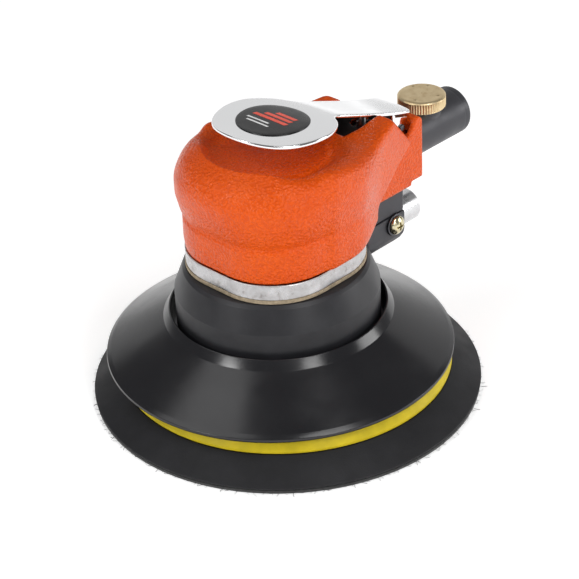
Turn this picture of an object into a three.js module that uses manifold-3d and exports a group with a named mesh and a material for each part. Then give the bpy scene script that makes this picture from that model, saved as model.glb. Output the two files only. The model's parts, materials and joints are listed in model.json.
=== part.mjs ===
// Air-powered palm orbital sander with a 150 mm hook pad and a dust shroud.
// Millimetres, +Z up. The origin lies on the motor axis, in the plane of the hook face.
// +Y points back to the air inlet and -Y forward.
import * as THREE from 'three';
import { mergeVertices } from 'three/addons/utils/BufferGeometryUtils.js';
import Module from 'manifold-3d';

const wasm = await Module();
wasm.setup();

// ---- driving dimensions -------------------------------------------------------------------
const GAP = 0.3;                                     // play between pieces that touch

// Facets round a turned piece, by its size.
const FINE = 42;
const MEDIUM = 24;
const SMALL = 14;
const TINY = 9;

const ORBIT = 2.5;                                   // pad axis to motor axis, a 5 mm orbit
const ORBIT_TURN = THREE.MathUtils.degToRad(15);      // where the pad stands in its orbit
const ORBIT_X = ORBIT * Math.cos(ORBIT_TURN);
const ORBIT_Y = ORBIT * Math.sin(ORBIT_TURN);

const PAD_R = 75;
const HOOK_TOP = 1.4;
const CUSHION_TOP = 9.3;
const PAD_TOP = 20;
const DUST_HOLES = 6;
const DUST_HOLE_R = 5;
const DUST_CIRCLE_R = 40;

const SHROUD_RIM_R = 66.5;
const SHROUD_TOP_R = 43.6;
const COLLAR_R = 39;
const COLLAR_WALL_R = 36;
const COLLAR_LIP_R = 34.2;
const COLLAR_TOP = 53.4;

const FLANGE_HALF = 31;                              // rounded square housing flange
const FLANGE_CORNER_R = 24.5;
const FLANGE_BOTTOM = 55.2;
const GRIP_BOTTOM = 61.5;
const SCREW_CIRCLE_R = 28.6;                         // four collar screws, on the diagonals

const BARREL_R = 27.5;
const BORE_R = 24.5;
const BORE_TOP = 89.9;
const HOUSING_TOP = 96.2;
const SHAFT_R = 6;
const SHAFT_STUB_R = 5;
const LOBE_R = 32.5;                                 // counterweight, opposite the pad's axis
const LOBE_SPREAD = Math.PI * 0.47;

const CYLINDER_BOTTOM = 64.5;
const CYLINDER_TOP = 85;
const LINER_R = 18;                                  // vane track
const LINER_OFFSET = 1.4;
const ROTOR_R = 16.2;
const VANES = 5;

const INLET_Z = 75.8;                                // axis of the air inlet
const NECK_HALF = 8.6;
const NECK_BOTTOM = 63.3;
const NECK_TOP = 82.4;
const NECK_END = 67.4;
const CHAMBER_R = 5.8;
const COLUMN_HALF = 12;
const COLUMN_END = 70.5;
const COLUMN_BOTTOM = 60.9;
const COLUMN_TOP = 88.7;
const CHEEK_END = 61.8;
const CHANNEL_HALF = 9.8;                            // lever channel in the grip
const HEX_FLATS = 17;
const HEX_START = COLUMN_END + GAP;
const HEX_END = 102.7;

const PIN_Y = 49;                                    // throttle pin
const PIN_TOP = 95.1;
const PIVOT_Y = 61.6;                                // lever pivot
const PIVOT_Z = 86;
const LEVER_T = 1.5;
const PADDLE_R = 23;
const NECK_LEVER_HALF = 9;
const LEVER_END = 69;

const KNOB_Y = 83.6;
const KNOB_R = 9.5;
const SPOOL_R = 3.4;

const DUCT_HALF = 10;
const DUCT_SPLIT = 50.95;
const TUBE_Z = 44.4;
const TUBE_R = 6.5;
const TUBE_END = 75;
const DUCT_PORT_Y = 45;
const SCREW_Y = 55.5;                                // pan-head screw in the side of the duct
const SCREW_Z = 46.9;
const SCREW_HEAD_R = 3.9;
const WASHER_R = 4.7;

// ---- finishes -----------------------------------------------------------------------------
const finish = (color, roughness, metalness) => ({ color, roughness, metalness });
const ALUMINIUM = finish(0xc4c6c9, 0.35, 1);
const STEEL = finish(0x9a9da1, 0.3, 1);
const CHROME = finish(0xe6e8ea, 0.08, 1);
const BRASS = finish(0xc9b07c, 0.35, 1);
const ZINC = finish(0xcfc48a, 0.3, 1);
const ORANGE = finish(0xe8551c, 0.6, 0);
const BLACK_PLASTIC = finish(0x2b2c2f, 0.5, 0);
const BLACK_RUBBER = finish(0x17181a, 0.35, 0);
const CHARCOAL = finish(0x47484c, 0.45, 0.4);
const FOAM = finish(0x1b1c1d, 0.7, 0);
const OLIVE = finish(0xb7a91a, 0.6, 0);
const HOOK = finish(0x8a8a86, 0.95, 0);
const PAPER = finish(0xb9a888, 0.85, 0);
const COMPOSITE = finish(0x6b4a2f, 0.7, 0);
const FELT = finish(0x77736a, 0.95, 0);

// ---- solids -------------------------------------------------------------------------------
function signedVolume(geometry) {
  const p = geometry.attributes.position;
  const index = geometry.index;
  const a = new THREE.Vector3();
  const b = new THREE.Vector3();
  const c = new THREE.Vector3();
  let volume = 0;
  for (let i = 0; i < index.count; i += 3) {
    a.fromBufferAttribute(p, index.getX(i));
    b.fromBufferAttribute(p, index.getX(i + 1));
    c.fromBufferAttribute(p, index.getX(i + 2));
    volume += a.dot(b.cross(c)) / 6;
  }
  return volume;
}

// A closed three.js geometry as a solid with its faces pointing out.
function solid(geometry) {
  const bare = new THREE.BufferGeometry();
  bare.setAttribute('position', geometry.attributes.position.clone());
  if (geometry.index) bare.setIndex(geometry.index.clone());
  const merged = mergeVertices(bare, 1e-4);
  const triVerts = Uint32Array.from(merged.index.array);
  if (signedVolume(merged) < 0) {
    for (let i = 0; i < triVerts.length; i += 3) {
      [triVerts[i + 1], triVerts[i + 2]] = [triVerts[i + 2], triVerts[i + 1]];
    }
  }
  const vertProperties = Float32Array.from(merged.attributes.position.array);
  const mesh = new wasm.Mesh({ numProp: 3, vertProperties, triVerts });
  mesh.merge();
  return new wasm.Manifold(mesh);
}

function geometryOf(manifold) {
  const mesh = manifold.getMesh();
  const geometry = new THREE.BufferGeometry();
  geometry.setAttribute('position', new THREE.BufferAttribute(mesh.vertProperties, 3));
  geometry.setIndex(new THREE.BufferAttribute(mesh.triVerts, 1));
  return geometry;
}

const outline = (points) => new THREE.Shape(points.map(([x, y]) => new THREE.Vector2(x, y)));

// A profile of [radius, z] points turned about a vertical axis at (x, y).
function turned(profile, segments = MEDIUM, x = 0, y = 0) {
  const points = profile.map(([r, z]) => new THREE.Vector2(r, z));
  const geometry = new THREE.LatheGeometry(points, segments);
  return solid(geometry.rotateX(Math.PI / 2).translate(x, y, 0));
}

// The same, about an axis along +Y at (x, z); the profile's second number is Y.
function turnedAlongY(profile, z, segments = SMALL, x = 0) {
  const points = profile.map(([r, y]) => new THREE.Vector2(r, y));
  return solid(new THREE.LatheGeometry(points, segments).translate(x, 0, z));
}

// The same, about an axis along +X at (y, z); the profile's second number is X.
function turnedAlongX(profile, y, z, segments = SMALL) {
  const points = profile.map(([r, x]) => new THREE.Vector2(r, x));
  return solid(new THREE.LatheGeometry(points, segments).rotateZ(-Math.PI / 2).translate(0, y, z));
}

const disc = (r, z0, z1, segments, x, y) =>
  turned([[0, z0], [r, z0], [r, z1], [0, z1]], segments, x, y);
const ring = (r0, r1, z0, z1, segments, x, y) =>
  turned([[r0, z0], [r1, z0], [r1, z1], [r0, z1], [r0, z0]], segments, x, y);
const rodY = (r, y0, y1, z, segments, x) =>
  turnedAlongY([[0, y0], [r, y0], [r, y1], [0, y1]], z, segments, x);
const pipeY = (r0, r1, y0, y1, z, segments) =>
  turnedAlongY([[r0, y0], [r1, y0], [r1, y1], [r0, y1], [r0, y0]], z, segments);
const rodX = (r, x0, x1, y, z, segments) =>
  turnedAlongX([[0, x0], [r, x0], [r, x1], [0, x1]], y, z, segments);

function block(x0, x1, y0, y1, z0, z1) {
  const box = new THREE.BoxGeometry(x1 - x0, y1 - y0, z1 - z0);
  return solid(box.translate((x0 + x1) / 2, (y0 + y1) / 2, (z0 + z1) / 2));
}

// Outlines pushed along Z (outline in X, Y), along Y (in X, Z) and along X (in Y, Z).
function pushedZ(shape, z0, z1, curveSegments = 8) {
  const options = { depth: z1 - z0, bevelEnabled: false, curveSegments };
  return solid(new THREE.ExtrudeGeometry(shape, options).translate(0, 0, z0));
}
function pushedY(shape, y0, y1, curveSegments = 8) {
  const options = { depth: y1 - y0, bevelEnabled: false, curveSegments };
  const geometry = new THREE.ExtrudeGeometry(shape, options);
  return solid(geometry.rotateX(Math.PI / 2).translate(0, y1, 0));
}
function pushedX(shape, x0, x1, curveSegments = 8) {
  const options = { depth: x1 - x0, bevelEnabled: false, curveSegments };
  const geometry = new THREE.ExtrudeGeometry(shape, options);
  return solid(geometry.rotateX(Math.PI / 2).rotateZ(Math.PI / 2).translate(x0, 0, 0));
}

// A rectangle with its own radius at each corner, counter-clockwise from the lower left.
function roundedBox(x0, x1, y0, y1, radii) {
  const [ll, lr, ur, ul] = radii;
  const shape = new THREE.Shape();
  shape.moveTo(x0 + ll, y0);
  shape.lineTo(x1 - lr, y0);
  if (lr > 0) shape.absarc(x1 - lr, y0 + lr, lr, -Math.PI / 2, 0);
  shape.lineTo(x1, y1 - ur);
  if (ur > 0) shape.absarc(x1 - ur, y1 - ur, ur, 0, Math.PI / 2);
  shape.lineTo(x0 + ul, y1);
  if (ul > 0) shape.absarc(x0 + ul, y1 - ul, ul, Math.PI / 2, Math.PI);
  shape.lineTo(x0, y0 + ll);
  if (ll > 0) shape.absarc(x0 + ll, y0 + ll, ll, Math.PI, Math.PI * 1.5);
  return shape;
}
const flangeShape = (half, corner) => roundedBox(-half, half, -half, half, Array(4).fill(corner));

function pieces(list) {
  return list.reduce((whole, next) => whole.add(next));
}
const around = (count, radius, start, make) =>
  Array.from({ length: count }, (_, i) => {
    const angle = start + (i * 2 * Math.PI) / count;
    return make(radius * Math.cos(angle), radius * Math.sin(angle), angle);
  });

// ---- the assembly -------------------------------------------------------------------------
const sander = new THREE.Group();

function place(name, manifold, look) {
  const mesh = new THREE.Mesh(geometryOf(manifold), new THREE.MeshStandardMaterial(look));
  mesh.name = name;
  sander.add(mesh);
}

// ---- pad ----------------------------------------------------------------------------------
const onPad = (profile, segments) => turned(profile, segments, ORBIT_X, ORBIT_Y);
const dustHoles = (z0, z1) =>
  pieces(around(DUST_HOLES, DUST_CIRCLE_R, Math.PI / 6, (x, y) =>
    disc(DUST_HOLE_R, z0, z1, TINY, x + ORBIT_X, y + ORBIT_Y)));

function buildPad() {
  const holes = dustHoles(-1, PAD_TOP + 1);
  const hook = disc(PAD_R - 0.4, 0, HOOK_TOP, FINE, ORBIT_X, ORBIT_Y);
  const cushion = onPad([
    [0, HOOK_TOP + GAP], [PAD_R - 0.3, HOOK_TOP + GAP], [PAD_R, 2.4], [64.3, CUSHION_TOP - 0.3],
    [63.9, CUSHION_TOP], [0, CUSHION_TOP],
  ], FINE);
  const backing = onPad([
    [0, CUSHION_TOP + GAP], [63.4, CUSHION_TOP + GAP], [63.5, 10.6], [61, 14.5], [50, PAD_TOP],
    [8.3, PAD_TOP], [8.3, 16.6], [0, 16.6],
  ], FINE);
  place('hook_face', hook.subtract(holes), HOOK);
  place('pad_cushion', cushion.subtract(holes), FOAM);
  place('pad_backing', backing.subtract(holes), OLIVE);
  place('pad_hub', onPad([[4.2, 20.3], [32, 20.3], [30.5, 22.3], [4.2, 22.3], [4.2, 20.3]], MEDIUM),
    STEEL);
  place('pad_stud', onPad([[0, 17], [8, 17], [8, 19.9], [3.9, 19.9], [3.9, 37.5], [0, 37.5]], SMALL),
    STEEL);
}

function buildSpindle() {
  const body = onPad([
    [4.2, 23.6], [10, 23.6], [10, 27.2], [SHAFT_R, 27.2], [SHAFT_R, 43.9], [5.1, 43.9],
    [5.1, 45], [SHAFT_R - 0.2, 45], [SHAFT_R - 0.2, 45.8], [0, 45.8], [0, 38], [4.2, 38],
    [4.2, 23.6],
  ], SMALL);
  const flats = [-1, 1].map((side) => {
    const x = ORBIT_X + side * 13;
    return block(x - 5, x + 5, ORBIT_Y - 12, ORBIT_Y + 12, 23, 26.4);
  });
  place('spindle', body.subtract(pieces(flats)), STEEL);
  place('spindle_circlip', ring(5.4, 7.4, 44.1, 44.8, SMALL, ORBIT_X, ORBIT_Y), STEEL);
}

// ---- balanced motor shaft -----------------------------------------------------------------
function buildShaft() {
  const cup = onPad([
    [0, 46.5], [7.8, 46.5], [7.8, 43.9], [14.3, 43.9], [14.3, 29.7], [14.9, 29.7], [14.9, 28.7],
    [14.3, 28.7], [14.3, 28], [17, 28], [17, 48.3], [0, 48.3],
  ], MEDIUM);
  const journal = disc(SHAFT_R, 47, 85.3, SMALL);
  const stub = turned([
    [0, 85], [SHAFT_STUB_R, 85], [SHAFT_STUB_R, 91.9], [4.4, 91.9], [4.4, 93.1],
    [SHAFT_STUB_R, 93.1], [SHAFT_STUB_R - 0.5, 93.9], [0, 93.9],
  ], SMALL);
  const lobeStart = ORBIT_TURN + Math.PI - LOBE_SPREAD;
  const lobeEnd = ORBIT_TURN + Math.PI + LOBE_SPREAD;
  const lobe = new THREE.Shape();
  lobe.absarc(0, 0, LOBE_R, lobeStart, lobeEnd, false);
  lobe.absarc(0, 0, 16, lobeEnd, lobeStart, true);
  const weight = pushedZ(lobe, 30, 43.5, 9);
  const bearingBore = disc(14.3, 27, 43.9, MEDIUM, ORBIT_X, ORBIT_Y);
  const body = pieces([weight.subtract(bearingBore), cup, journal, stub]);
  place('balance_shaft', body, STEEL);
  place('spindle_bearing', ring(6.3, 14, 29.9, 43.6, MEDIUM, ORBIT_X, ORBIT_Y), STEEL);
  place('bearing_circlip', ring(12.6, 14.6, 28.9, 29.5, SMALL, ORBIT_X, ORBIT_Y), STEEL);
  place('shaft_circlip', ring(4.7, 7, 92.1, 92.9, SMALL), STEEL);
}

const rotorBottom = CYLINDER_BOTTOM + 0.4;
const rotorTop = CYLINDER_TOP - 0.4;
const VANE_T = 1.6;
const VANE_INNER = 8.8;
const vaneTurn = (part, i) => part.rotate([0, 0, 90 + (i * 360) / VANES]);

function buildRotor() {
  const slot = block(VANE_INNER - GAP, ROTOR_R + 2, -VANE_T / 2 - 0.2, VANE_T / 2 + 0.2,
    rotorBottom - 1, rotorTop + 1);
  const keyway = block(4, SHAFT_R + 1.5, -1.6, 1.6, rotorBottom - 1, rotorTop + 1);
  let rotor = ring(SHAFT_R + GAP, ROTOR_R, rotorBottom, rotorTop, MEDIUM);
  for (let i = 0; i < VANES; i += 1) rotor = rotor.subtract(vaneTurn(slot, i));
  place('rotor', rotor.subtract(keyway.rotate([0, 0, -54])), STEEL);
  for (let i = 0; i < VANES; i += 1) {
    const vane = block(VANE_INNER, ROTOR_R - 0.1, -VANE_T / 2, VANE_T / 2, rotorBottom + 0.1,
      rotorTop - 0.1);
    place(`rotor_vane_${i + 1}`, vaneTurn(vane, i), COMPOSITE);
  }
}

// ---- fixed motor pieces -------------------------------------------------------------------
const linerX = LINER_OFFSET * Math.SQRT1_2;
const linerBore = (z0, z1) => disc(LINER_R, z0, z1, MEDIUM, linerX, linerX);

function buildMotor() {
  const r = BORE_R - GAP;
  const notches = pieces(around(4, 17, Math.PI / 4, (x, y) => disc(1.6, 55, 58, TINY, x, y)));
  place('lock_ring', ring(15.6, r, 56, 59.4, MEDIUM).subtract(notches), STEEL);
  place('lower_end_plate', turned([
    [7, 62.7], [11.3, 62.7], [11.3, 56.3], [15.2, 56.3], [15.2, 59.7], [r, 59.7],
    [r, CYLINDER_BOTTOM - GAP], [7, CYLINDER_BOTTOM - GAP], [7, 62.7],
  ], MEDIUM), ALUMINIUM);
  place('lower_bearing', ring(6.3, 11, 56.5, 62.4, SMALL), STEEL);
  const inletPort = block(-3, 3, 15, 30, 74, 78);
  const outletPort = block(-5, 5, 15, 30, 65.6, 67.6);
  const oringGroove = ring(r - 1.1, r + 1, 71.2, 72.8, MEDIUM);
  const dowelHole = disc(1.3, CYLINDER_TOP - 4, CYLINDER_TOP + 1, TINY, -21.3, 0);
  const cylinder = disc(r, CYLINDER_BOTTOM, CYLINDER_TOP, MEDIUM)
    .subtract(linerBore(CYLINDER_BOTTOM - 1, CYLINDER_TOP + 1))
    .subtract(pieces([inletPort, outletPort, dowelHole]))
    .subtract(oringGroove);
  place('cylinder', cylinder, STEEL);
  place('cylinder_oring', ring(r - 0.8, r + 0.15, 71.4, 72.6, MEDIUM), BLACK_RUBBER);
  place('cylinder_dowel', disc(1, CYLINDER_TOP - 3.7, 88, TINY, -21.3, 0), STEEL);
  const upper = turned([
    [5.6, CYLINDER_TOP + GAP], [r, CYLINDER_TOP + GAP], [r, 89.5], [12.7, 89.5], [12.7, 92.2],
    [9.5, 92.2], [9.5, 87], [5.6, 87], [5.6, CYLINDER_TOP + GAP],
  ], MEDIUM).subtract(disc(1.3, 84, 88.3, TINY, -21.3, 0));
  place('upper_end_plate', upper, ALUMINIUM);
  place('upper_bearing', ring(5.3, 9.2, 87.3, 91.6, SMALL), STEEL);
}

// ---- housing ------------------------------------------------------------------------------
const cornerScrews = (make) => around(4, SCREW_CIRCLE_R, Math.PI / 4, make);

// The housing's outer form above its flange, grown by a clearance.
function housingForm(grow) {
  const barrel = turned([
    [0, 60], [BARREL_R + grow, 60], [BARREL_R + grow, 88 + grow], [20 + grow, HOUSING_TOP + grow],
    [0, HOUSING_TOP + grow],
  ], MEDIUM);
  const neckShape = roundedBox(-NECK_HALF - grow, NECK_HALF + grow, NECK_BOTTOM - grow,
    NECK_TOP + grow, [2, 2, 2, 2]);
  const neck = pushedY(neckShape, 10, NECK_END + grow, 3);
  const lug = pushedX(roundedBox(57.6 - grow, 65.6 + grow, 78, PIVOT_Z + 3.4 + grow, [0, 0, 2, 2]),
    -6.4 - grow, 6.4 + grow, 3);
  const boss = disc(5.4 + grow, 78, 89.4 + grow, SMALL, 0, PIN_Y);
  return pieces([barrel, neck, lug, boss]);
}

function buildHousing() {
  const flange = pushedZ(flangeShape(FLANGE_HALF, FLANGE_CORNER_R), FLANGE_BOTTOM,
    GRIP_BOTTOM - GAP, 6);
  const bore = turned([
    [0, 50], [BORE_R, 50], [BORE_R, BORE_TOP], [13, BORE_TOP], [13, 94.2], [0, 94.2],
  ], MEDIUM);
  const chamber = turnedAlongY([
    [0, 20], [3.5, 20], [3.5, 43], [4.6, 43], [4.6, 54.9], [CHAMBER_R, 54.9], [CHAMBER_R, 75],
    [0, 75],
  ], INLET_Z, SMALL);
  const pinBore = turned([[0, 74], [2.1, 74], [2.1, 80.6], [3.7, 80.6], [3.7, 95], [0, 95]],
    20, 0, PIN_Y);
  const gallery = block(-5, 5, 20, 49, 65.4, 67.6);
  const outlet = disc(4, 60, 66.5, SMALL, 0, DUCT_PORT_Y);
  const pivotBore = rodX(2.1, -12, 12, PIVOT_Y, PIVOT_Z, SMALL);
  const threads = pieces(cornerScrews((x, y) => disc(2.2, 50, 60.4, TINY, x, y)));
  const cuts = pieces([bore, chamber, pinBore, gallery, outlet, pivotBore, threads]);
  place('motor_housing', flange.add(housingForm(0)).subtract(cuts), ALUMINIUM);

  const gasket = pushedZ(flangeShape(FLANGE_HALF, FLANGE_CORNER_R), COLLAR_TOP + GAP,
    FLANGE_BOTTOM - GAP, 6);
  const gasketHoles = pieces(cornerScrews((x, y) => disc(2.4, 50, 60, TINY, x, y)));
  place('housing_gasket', gasket.subtract(disc(25, 50, 60, MEDIUM)).subtract(gasketHoles), PAPER);
  cornerScrews((x, y) => [x, y]).forEach(([x, y], i) => {
    place(`collar_screw_${i + 1}`, turned([
      [0, 47.6], [3.4, 47.6], [3.6, 50.1], [1.9, 50.1], [1.9, 59.8], [0, 59.8],
    ], TINY, x, y), STEEL);
  });
}

// ---- collar and shroud --------------------------------------------------------------------
function buildCollar() {
  const shell = turned([
    [COLLAR_WALL_R, 23.8], [39.6, 23.8], [39.6, 25.7], [37.5, 26.2], [37.5, 28.9],
    [COLLAR_R, 29.2], [COLLAR_R, 43], [COLLAR_LIP_R + 1, 52.2], [COLLAR_LIP_R, COLLAR_TOP],
    [25, COLLAR_TOP], [25, 50.4], [33.2, 50.4], [COLLAR_WALL_R, 43], [COLLAR_WALL_R, 23.8],
  ], FINE);
  const holes = pieces(cornerScrews((x, y) => disc(2.3, 49, 55, TINY, x, y)));
  place('collar', shell.subtract(holes), BLACK_PLASTIC);
  place('dust_shroud', turned([
    [37.8, 26.5], [43, 26.5], [44, 28.3], [65.1, 16], [66.2, 15.6], [66.8, 16.3],
    [SHROUD_RIM_R, 17.2], [SHROUD_TOP_R, 31.3], [41.6, 34.7], [40.9, 34.4], [41, 28.7],
    [37.8, 28.7], [37.8, 26.5],
  ], FINE), BLACK_RUBBER);
}

// ---- rubber grip --------------------------------------------------------------------------
// Radius of a rounded square along a direction, against its radius on the diagonal.
function squareness(angle) {
  const c = FLANGE_HALF - FLANGE_CORNER_R;
  const folded = Math.abs(((angle % (Math.PI / 2)) + Math.PI / 2) % (Math.PI / 2));
  const t = Math.min(folded, Math.PI / 2 - folded);
  const b = c * (Math.cos(t) + Math.sin(t));
  const onSide = Math.tan(t) <= c / FLANGE_HALF;
  const r = onSide ? FLANGE_HALF / Math.cos(t)
    : b + Math.sqrt(b * b - 2 * c * c + FLANGE_CORNER_R ** 2);
  return r / (c * Math.SQRT2 + FLANGE_CORNER_R);
}

// Square plan at the flange, easing to a round plan at the palm dish.
function palmBody() {
  const profile = [
    [0, GRIP_BOTTOM], [33.2, GRIP_BOTTOM], [33.8, 63], [33.8, 70], [33.2, 74.6], [32.6, 75.6],
    [33.6, 77.2], [35.1, 81], [35.7, 86], [35.6, 90], [34.2, 94.5], [31, 98.6], [28, 101.1],
    [26.2, 102.2], [25, 102], [24.4, 99.4], [22.8, 98.5], [0, 98.2],
  ];
  const points = profile.map(([r, z]) => new THREE.Vector2(r, z));
  const geometry = new THREE.LatheGeometry(points, 40).rotateX(Math.PI / 2);
  const p = geometry.attributes.position;
  for (let i = 0; i < p.count; i += 1) {
    const roundness = THREE.MathUtils.smoothstep(p.getZ(i), 74, 101);
    const factor = squareness(Math.atan2(p.getY(i), p.getX(i)));
    const scale = THREE.MathUtils.lerp(factor, 1, roundness);
    p.setXY(i, p.getX(i) * scale, p.getY(i) * scale);
  }
  return solid(geometry);
}

// The two cheeks beside the lever: a side view trimmed to a plan view.
function cheeks() {
  const side = outline([
    [0, 64], [31, 64], [32, 68.4], [CHEEK_END, 80.9], [CHEEK_END, 82.4], [48, 97], [43, 97.6],
    [28, 95.6], [14, 99], [0, 99],
  ]);
  const plan = outline([
    [-31, 0], [31, 0], [30, 14], [26.2, 24], [22, 36], [18, 48], [15, CHEEK_END],
    [-15, CHEEK_END], [-18, 48], [-22, 36], [-26.2, 24], [-30, 14],
  ]);
  return pushedX(side, -31, 31).intersect(pushedZ(plan, 60, 105));
}

function buildGrip() {
  const column = pushedY(roundedBox(-COLUMN_HALF, COLUMN_HALF, COLUMN_BOTTOM, COLUMN_TOP,
    [2, 2, 1.5, 1.5]), 20, COLUMN_END, 3);
  const columnTrim = pushedX(outline([
    [20, 50], [64, 50], [64, 62.6], [75, 62.6], [75, 98], [65, 98], [64.4, 86], [62, 83],
    [57, 83], [46, 95], [20, 95],
  ]), -20, 20);
  const outer = pieces([palmBody(), cheeks(), column.intersect(columnTrim)]);
  const channel = pushedX(outline([
    [8, 98], [28, 97.4], [44, 93.6], [56, 90.6], [56, NECK_TOP + GAP], [65.9, NECK_TOP + GAP],
    [65.9, 110], [8, 110],
  ]), -CHANNEL_HALF, CHANNEL_HALF);
  const saddle = pushedX(outline([
    [6, 100], [16, 97.8], [29, 96.2], [41, 99.5], [41, 110], [6, 110],
  ]), -32, 32);
  const flangeRoom = pushedZ(flangeShape(FLANGE_HALF + 2, FLANGE_CORNER_R), 50, GRIP_BOTTOM, 6)
    .subtract(block(-40, 40, 31.5, 80, 40, 70));
  const inletHole = rodY(6.2, 60, 75, INLET_Z, SMALL);
  const outletHole = disc(5, 50, 66, SMALL, 0, DUCT_PORT_Y);
  const pinHole = disc(4.2, 80, 100, SMALL, 0, PIN_Y);
  const pivotHole = rodX(2.6, -COLUMN_HALF + 0.8, COLUMN_HALF - 0.8, PIVOT_Y, PIVOT_Z, TINY);
  const cuts = pieces([channel, saddle, housingForm(GAP), flangeRoom, inletHole, outletHole, pinHole,
    pivotHole]);
  place('grip', outer.subtract(cuts), ORANGE);
}

// ---- throttle -----------------------------------------------------------------------------
function leverPlan() {
  const shape = new THREE.Shape();
  const meet = Math.PI * 0.17;                       // where the waist leaves the paddle
  shape.absarc(0, 3, PADDLE_R, Math.PI / 2 - meet * 1.02, Math.PI / 2 + meet * 1.02, true);
  shape.quadraticCurveTo(-NECK_LEVER_HALF, 28, -NECK_LEVER_HALF, 33);
  shape.lineTo(-NECK_LEVER_HALF, LEVER_END - 3.4);
  shape.quadraticCurveTo(-NECK_LEVER_HALF, LEVER_END - 0.4, -4.6, LEVER_END);
  shape.lineTo(4.6, LEVER_END);
  shape.quadraticCurveTo(NECK_LEVER_HALF, LEVER_END - 0.4, NECK_LEVER_HALF, LEVER_END - 3.4);
  shape.lineTo(NECK_LEVER_HALF, 33);
  shape.quadraticCurveTo(NECK_LEVER_HALF, 28, PADDLE_R * Math.sin(meet * 1.02),
    3 + PADDLE_R * Math.cos(meet * 1.02));
  return shape;
}

// Side view of the pressed sheet: nearly level over the palm, falling to the pivot.
function leverSheet() {
  const spine = new THREE.SplineCurve([[-21, 112.8], [3, 110], [20, 107.2], [31, 103.7],
    [45, 98.5], [57, 94.6], [69.2, 90.8]].map(([y, z]) => new THREE.Vector2(y, z)));
  const top = spine.getPoints(12).map((p) => [p.x, p.y]);
  const under = top.map(([y, z]) => [y, z - LEVER_T]).reverse();
  return pushedX(outline([...top, ...under]), -26, 26);
}

function buildThrottle() {
  const sheet = leverSheet().intersect(pushedZ(leverPlan(), 80, 120, 7));
  const tabShape = new THREE.Shape();
  tabShape.moveTo(57.2, 93.4);
  tabShape.lineTo(57.6, 88);
  tabShape.absarc(PIVOT_Y, PIVOT_Z, 3, Math.PI * 0.86, Math.PI * 2.0, false);
  tabShape.lineTo(64.4, 91.2);
  const tabs = [-1, 1].map((side) => {
    const inner = side > 0 ? 7.2 : -8.6;
    return pushedX(tabShape, inner, inner + 1.4, 6);
  });
  const pivotHole = rodX(2.3, -12, 12, PIVOT_Y, PIVOT_Z, SMALL);
  place('throttle_lever', pieces([sheet, ...tabs]).subtract(pivotHole), CHROME);

  const slope = -0.1167;                             // rise of the sheet under the badge
  const badge = new THREE.CylinderGeometry(13.6, 13.6, 0.5, 36);
  badge.rotateX(Math.PI / 2 + Math.atan(slope)).translate(0, 2, 110.7);
  place('lever_badge', solid(badge), BLACK_PLASTIC);
  place('lever_pivot', rodX(1.8, -10, 10, PIVOT_Y, PIVOT_Z, SMALL), STEEL);

  place('throttle_pin', turned([
    [0, 77.4], [1, 77.4], [1.3, 78.4], [1.3, 79.6], [1.7, 80], [1.7, PIN_TOP - 0.9],
    [0.9, PIN_TOP], [0, PIN_TOP],
  ], TINY, 0, PIN_Y), STEEL);
  place('pin_bush', ring(2, 3.4, 80.9, 87.2, SMALL, 0, PIN_Y), BRASS);
  place('pin_seal', ring(1.95, 3.3, 87.5, 89.1, SMALL, 0, PIN_Y), BLACK_RUBBER);
}

// ---- valve and air inlet ------------------------------------------------------------------
function buildValve() {
  place('valve_seat', pipeY(3.3, CHAMBER_R - GAP, 55.2, 57.3, INLET_Z, SMALL), BRASS);
  place('tip_valve', turnedAlongY([
    [0, 46.4], [1.1, 46.6], [1.3, 47.2], [1.3, 57.6], [4.2, 57.6], [4.2, 59.1], [1.5, 59.1],
    [1.5, 60.4], [0, 60.4],
  ], INLET_Z, SMALL), BRASS);
  place('valve_spring', pipeY(1.9, 3.5, 59.4, 62.6, INLET_Z, SMALL), STEEL);
}

function hexShape() {
  const corner = HEX_FLATS / Math.sqrt(3);
  const points = around(6, corner, 0, (x, z) => [x, z + INLET_Z]);
  return outline(points);
}

function buildInlet() {
  const hex = pushedY(hexShape(), HEX_START, HEX_END - 4);
  const nose = turnedAlongY([
    [0, HEX_END - 8], [10.2, HEX_END - 8], [10.2, HEX_END - 1.2], [9.2, HEX_END], [0, HEX_END],
  ], INLET_Z, MEDIUM);
  const spigot = rodY(CHAMBER_R - GAP, 63.4, HEX_START + 1, INLET_Z, SMALL);
  const airway = turnedAlongY([
    [0, 60], [4.6, 60], [4.6, 77.5], [2.8, 78.5], [2.8, 88.5], [5.7, 89.3], [5.7, 91.4],
    [7.3, 91.4], [7.3, 110], [0, 110],
  ], INLET_Z, SMALL);
  const spoolBore = disc(SPOOL_R + GAP, 69.4, 90, SMALL, 0, KNOB_Y);
  const cuts = pieces([airway, spoolBore]);
  place('inlet_body', pieces([hex, nose, spigot]).subtract(cuts), CHARCOAL);
  place('inlet_bushing', pipeY(5.4, 7, 91.7, HEX_END + 0.3, INLET_Z, SMALL), STEEL);
  const mesh = around(6, 2.9, 0, (x, z) => rodY(0.9, 88, 93, INLET_Z + z, TINY, x));
  place('inlet_screen', rodY(5.4, 89.9, 91.1, INLET_Z, SMALL).subtract(pieces(mesh)), BRASS);
}

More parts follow.
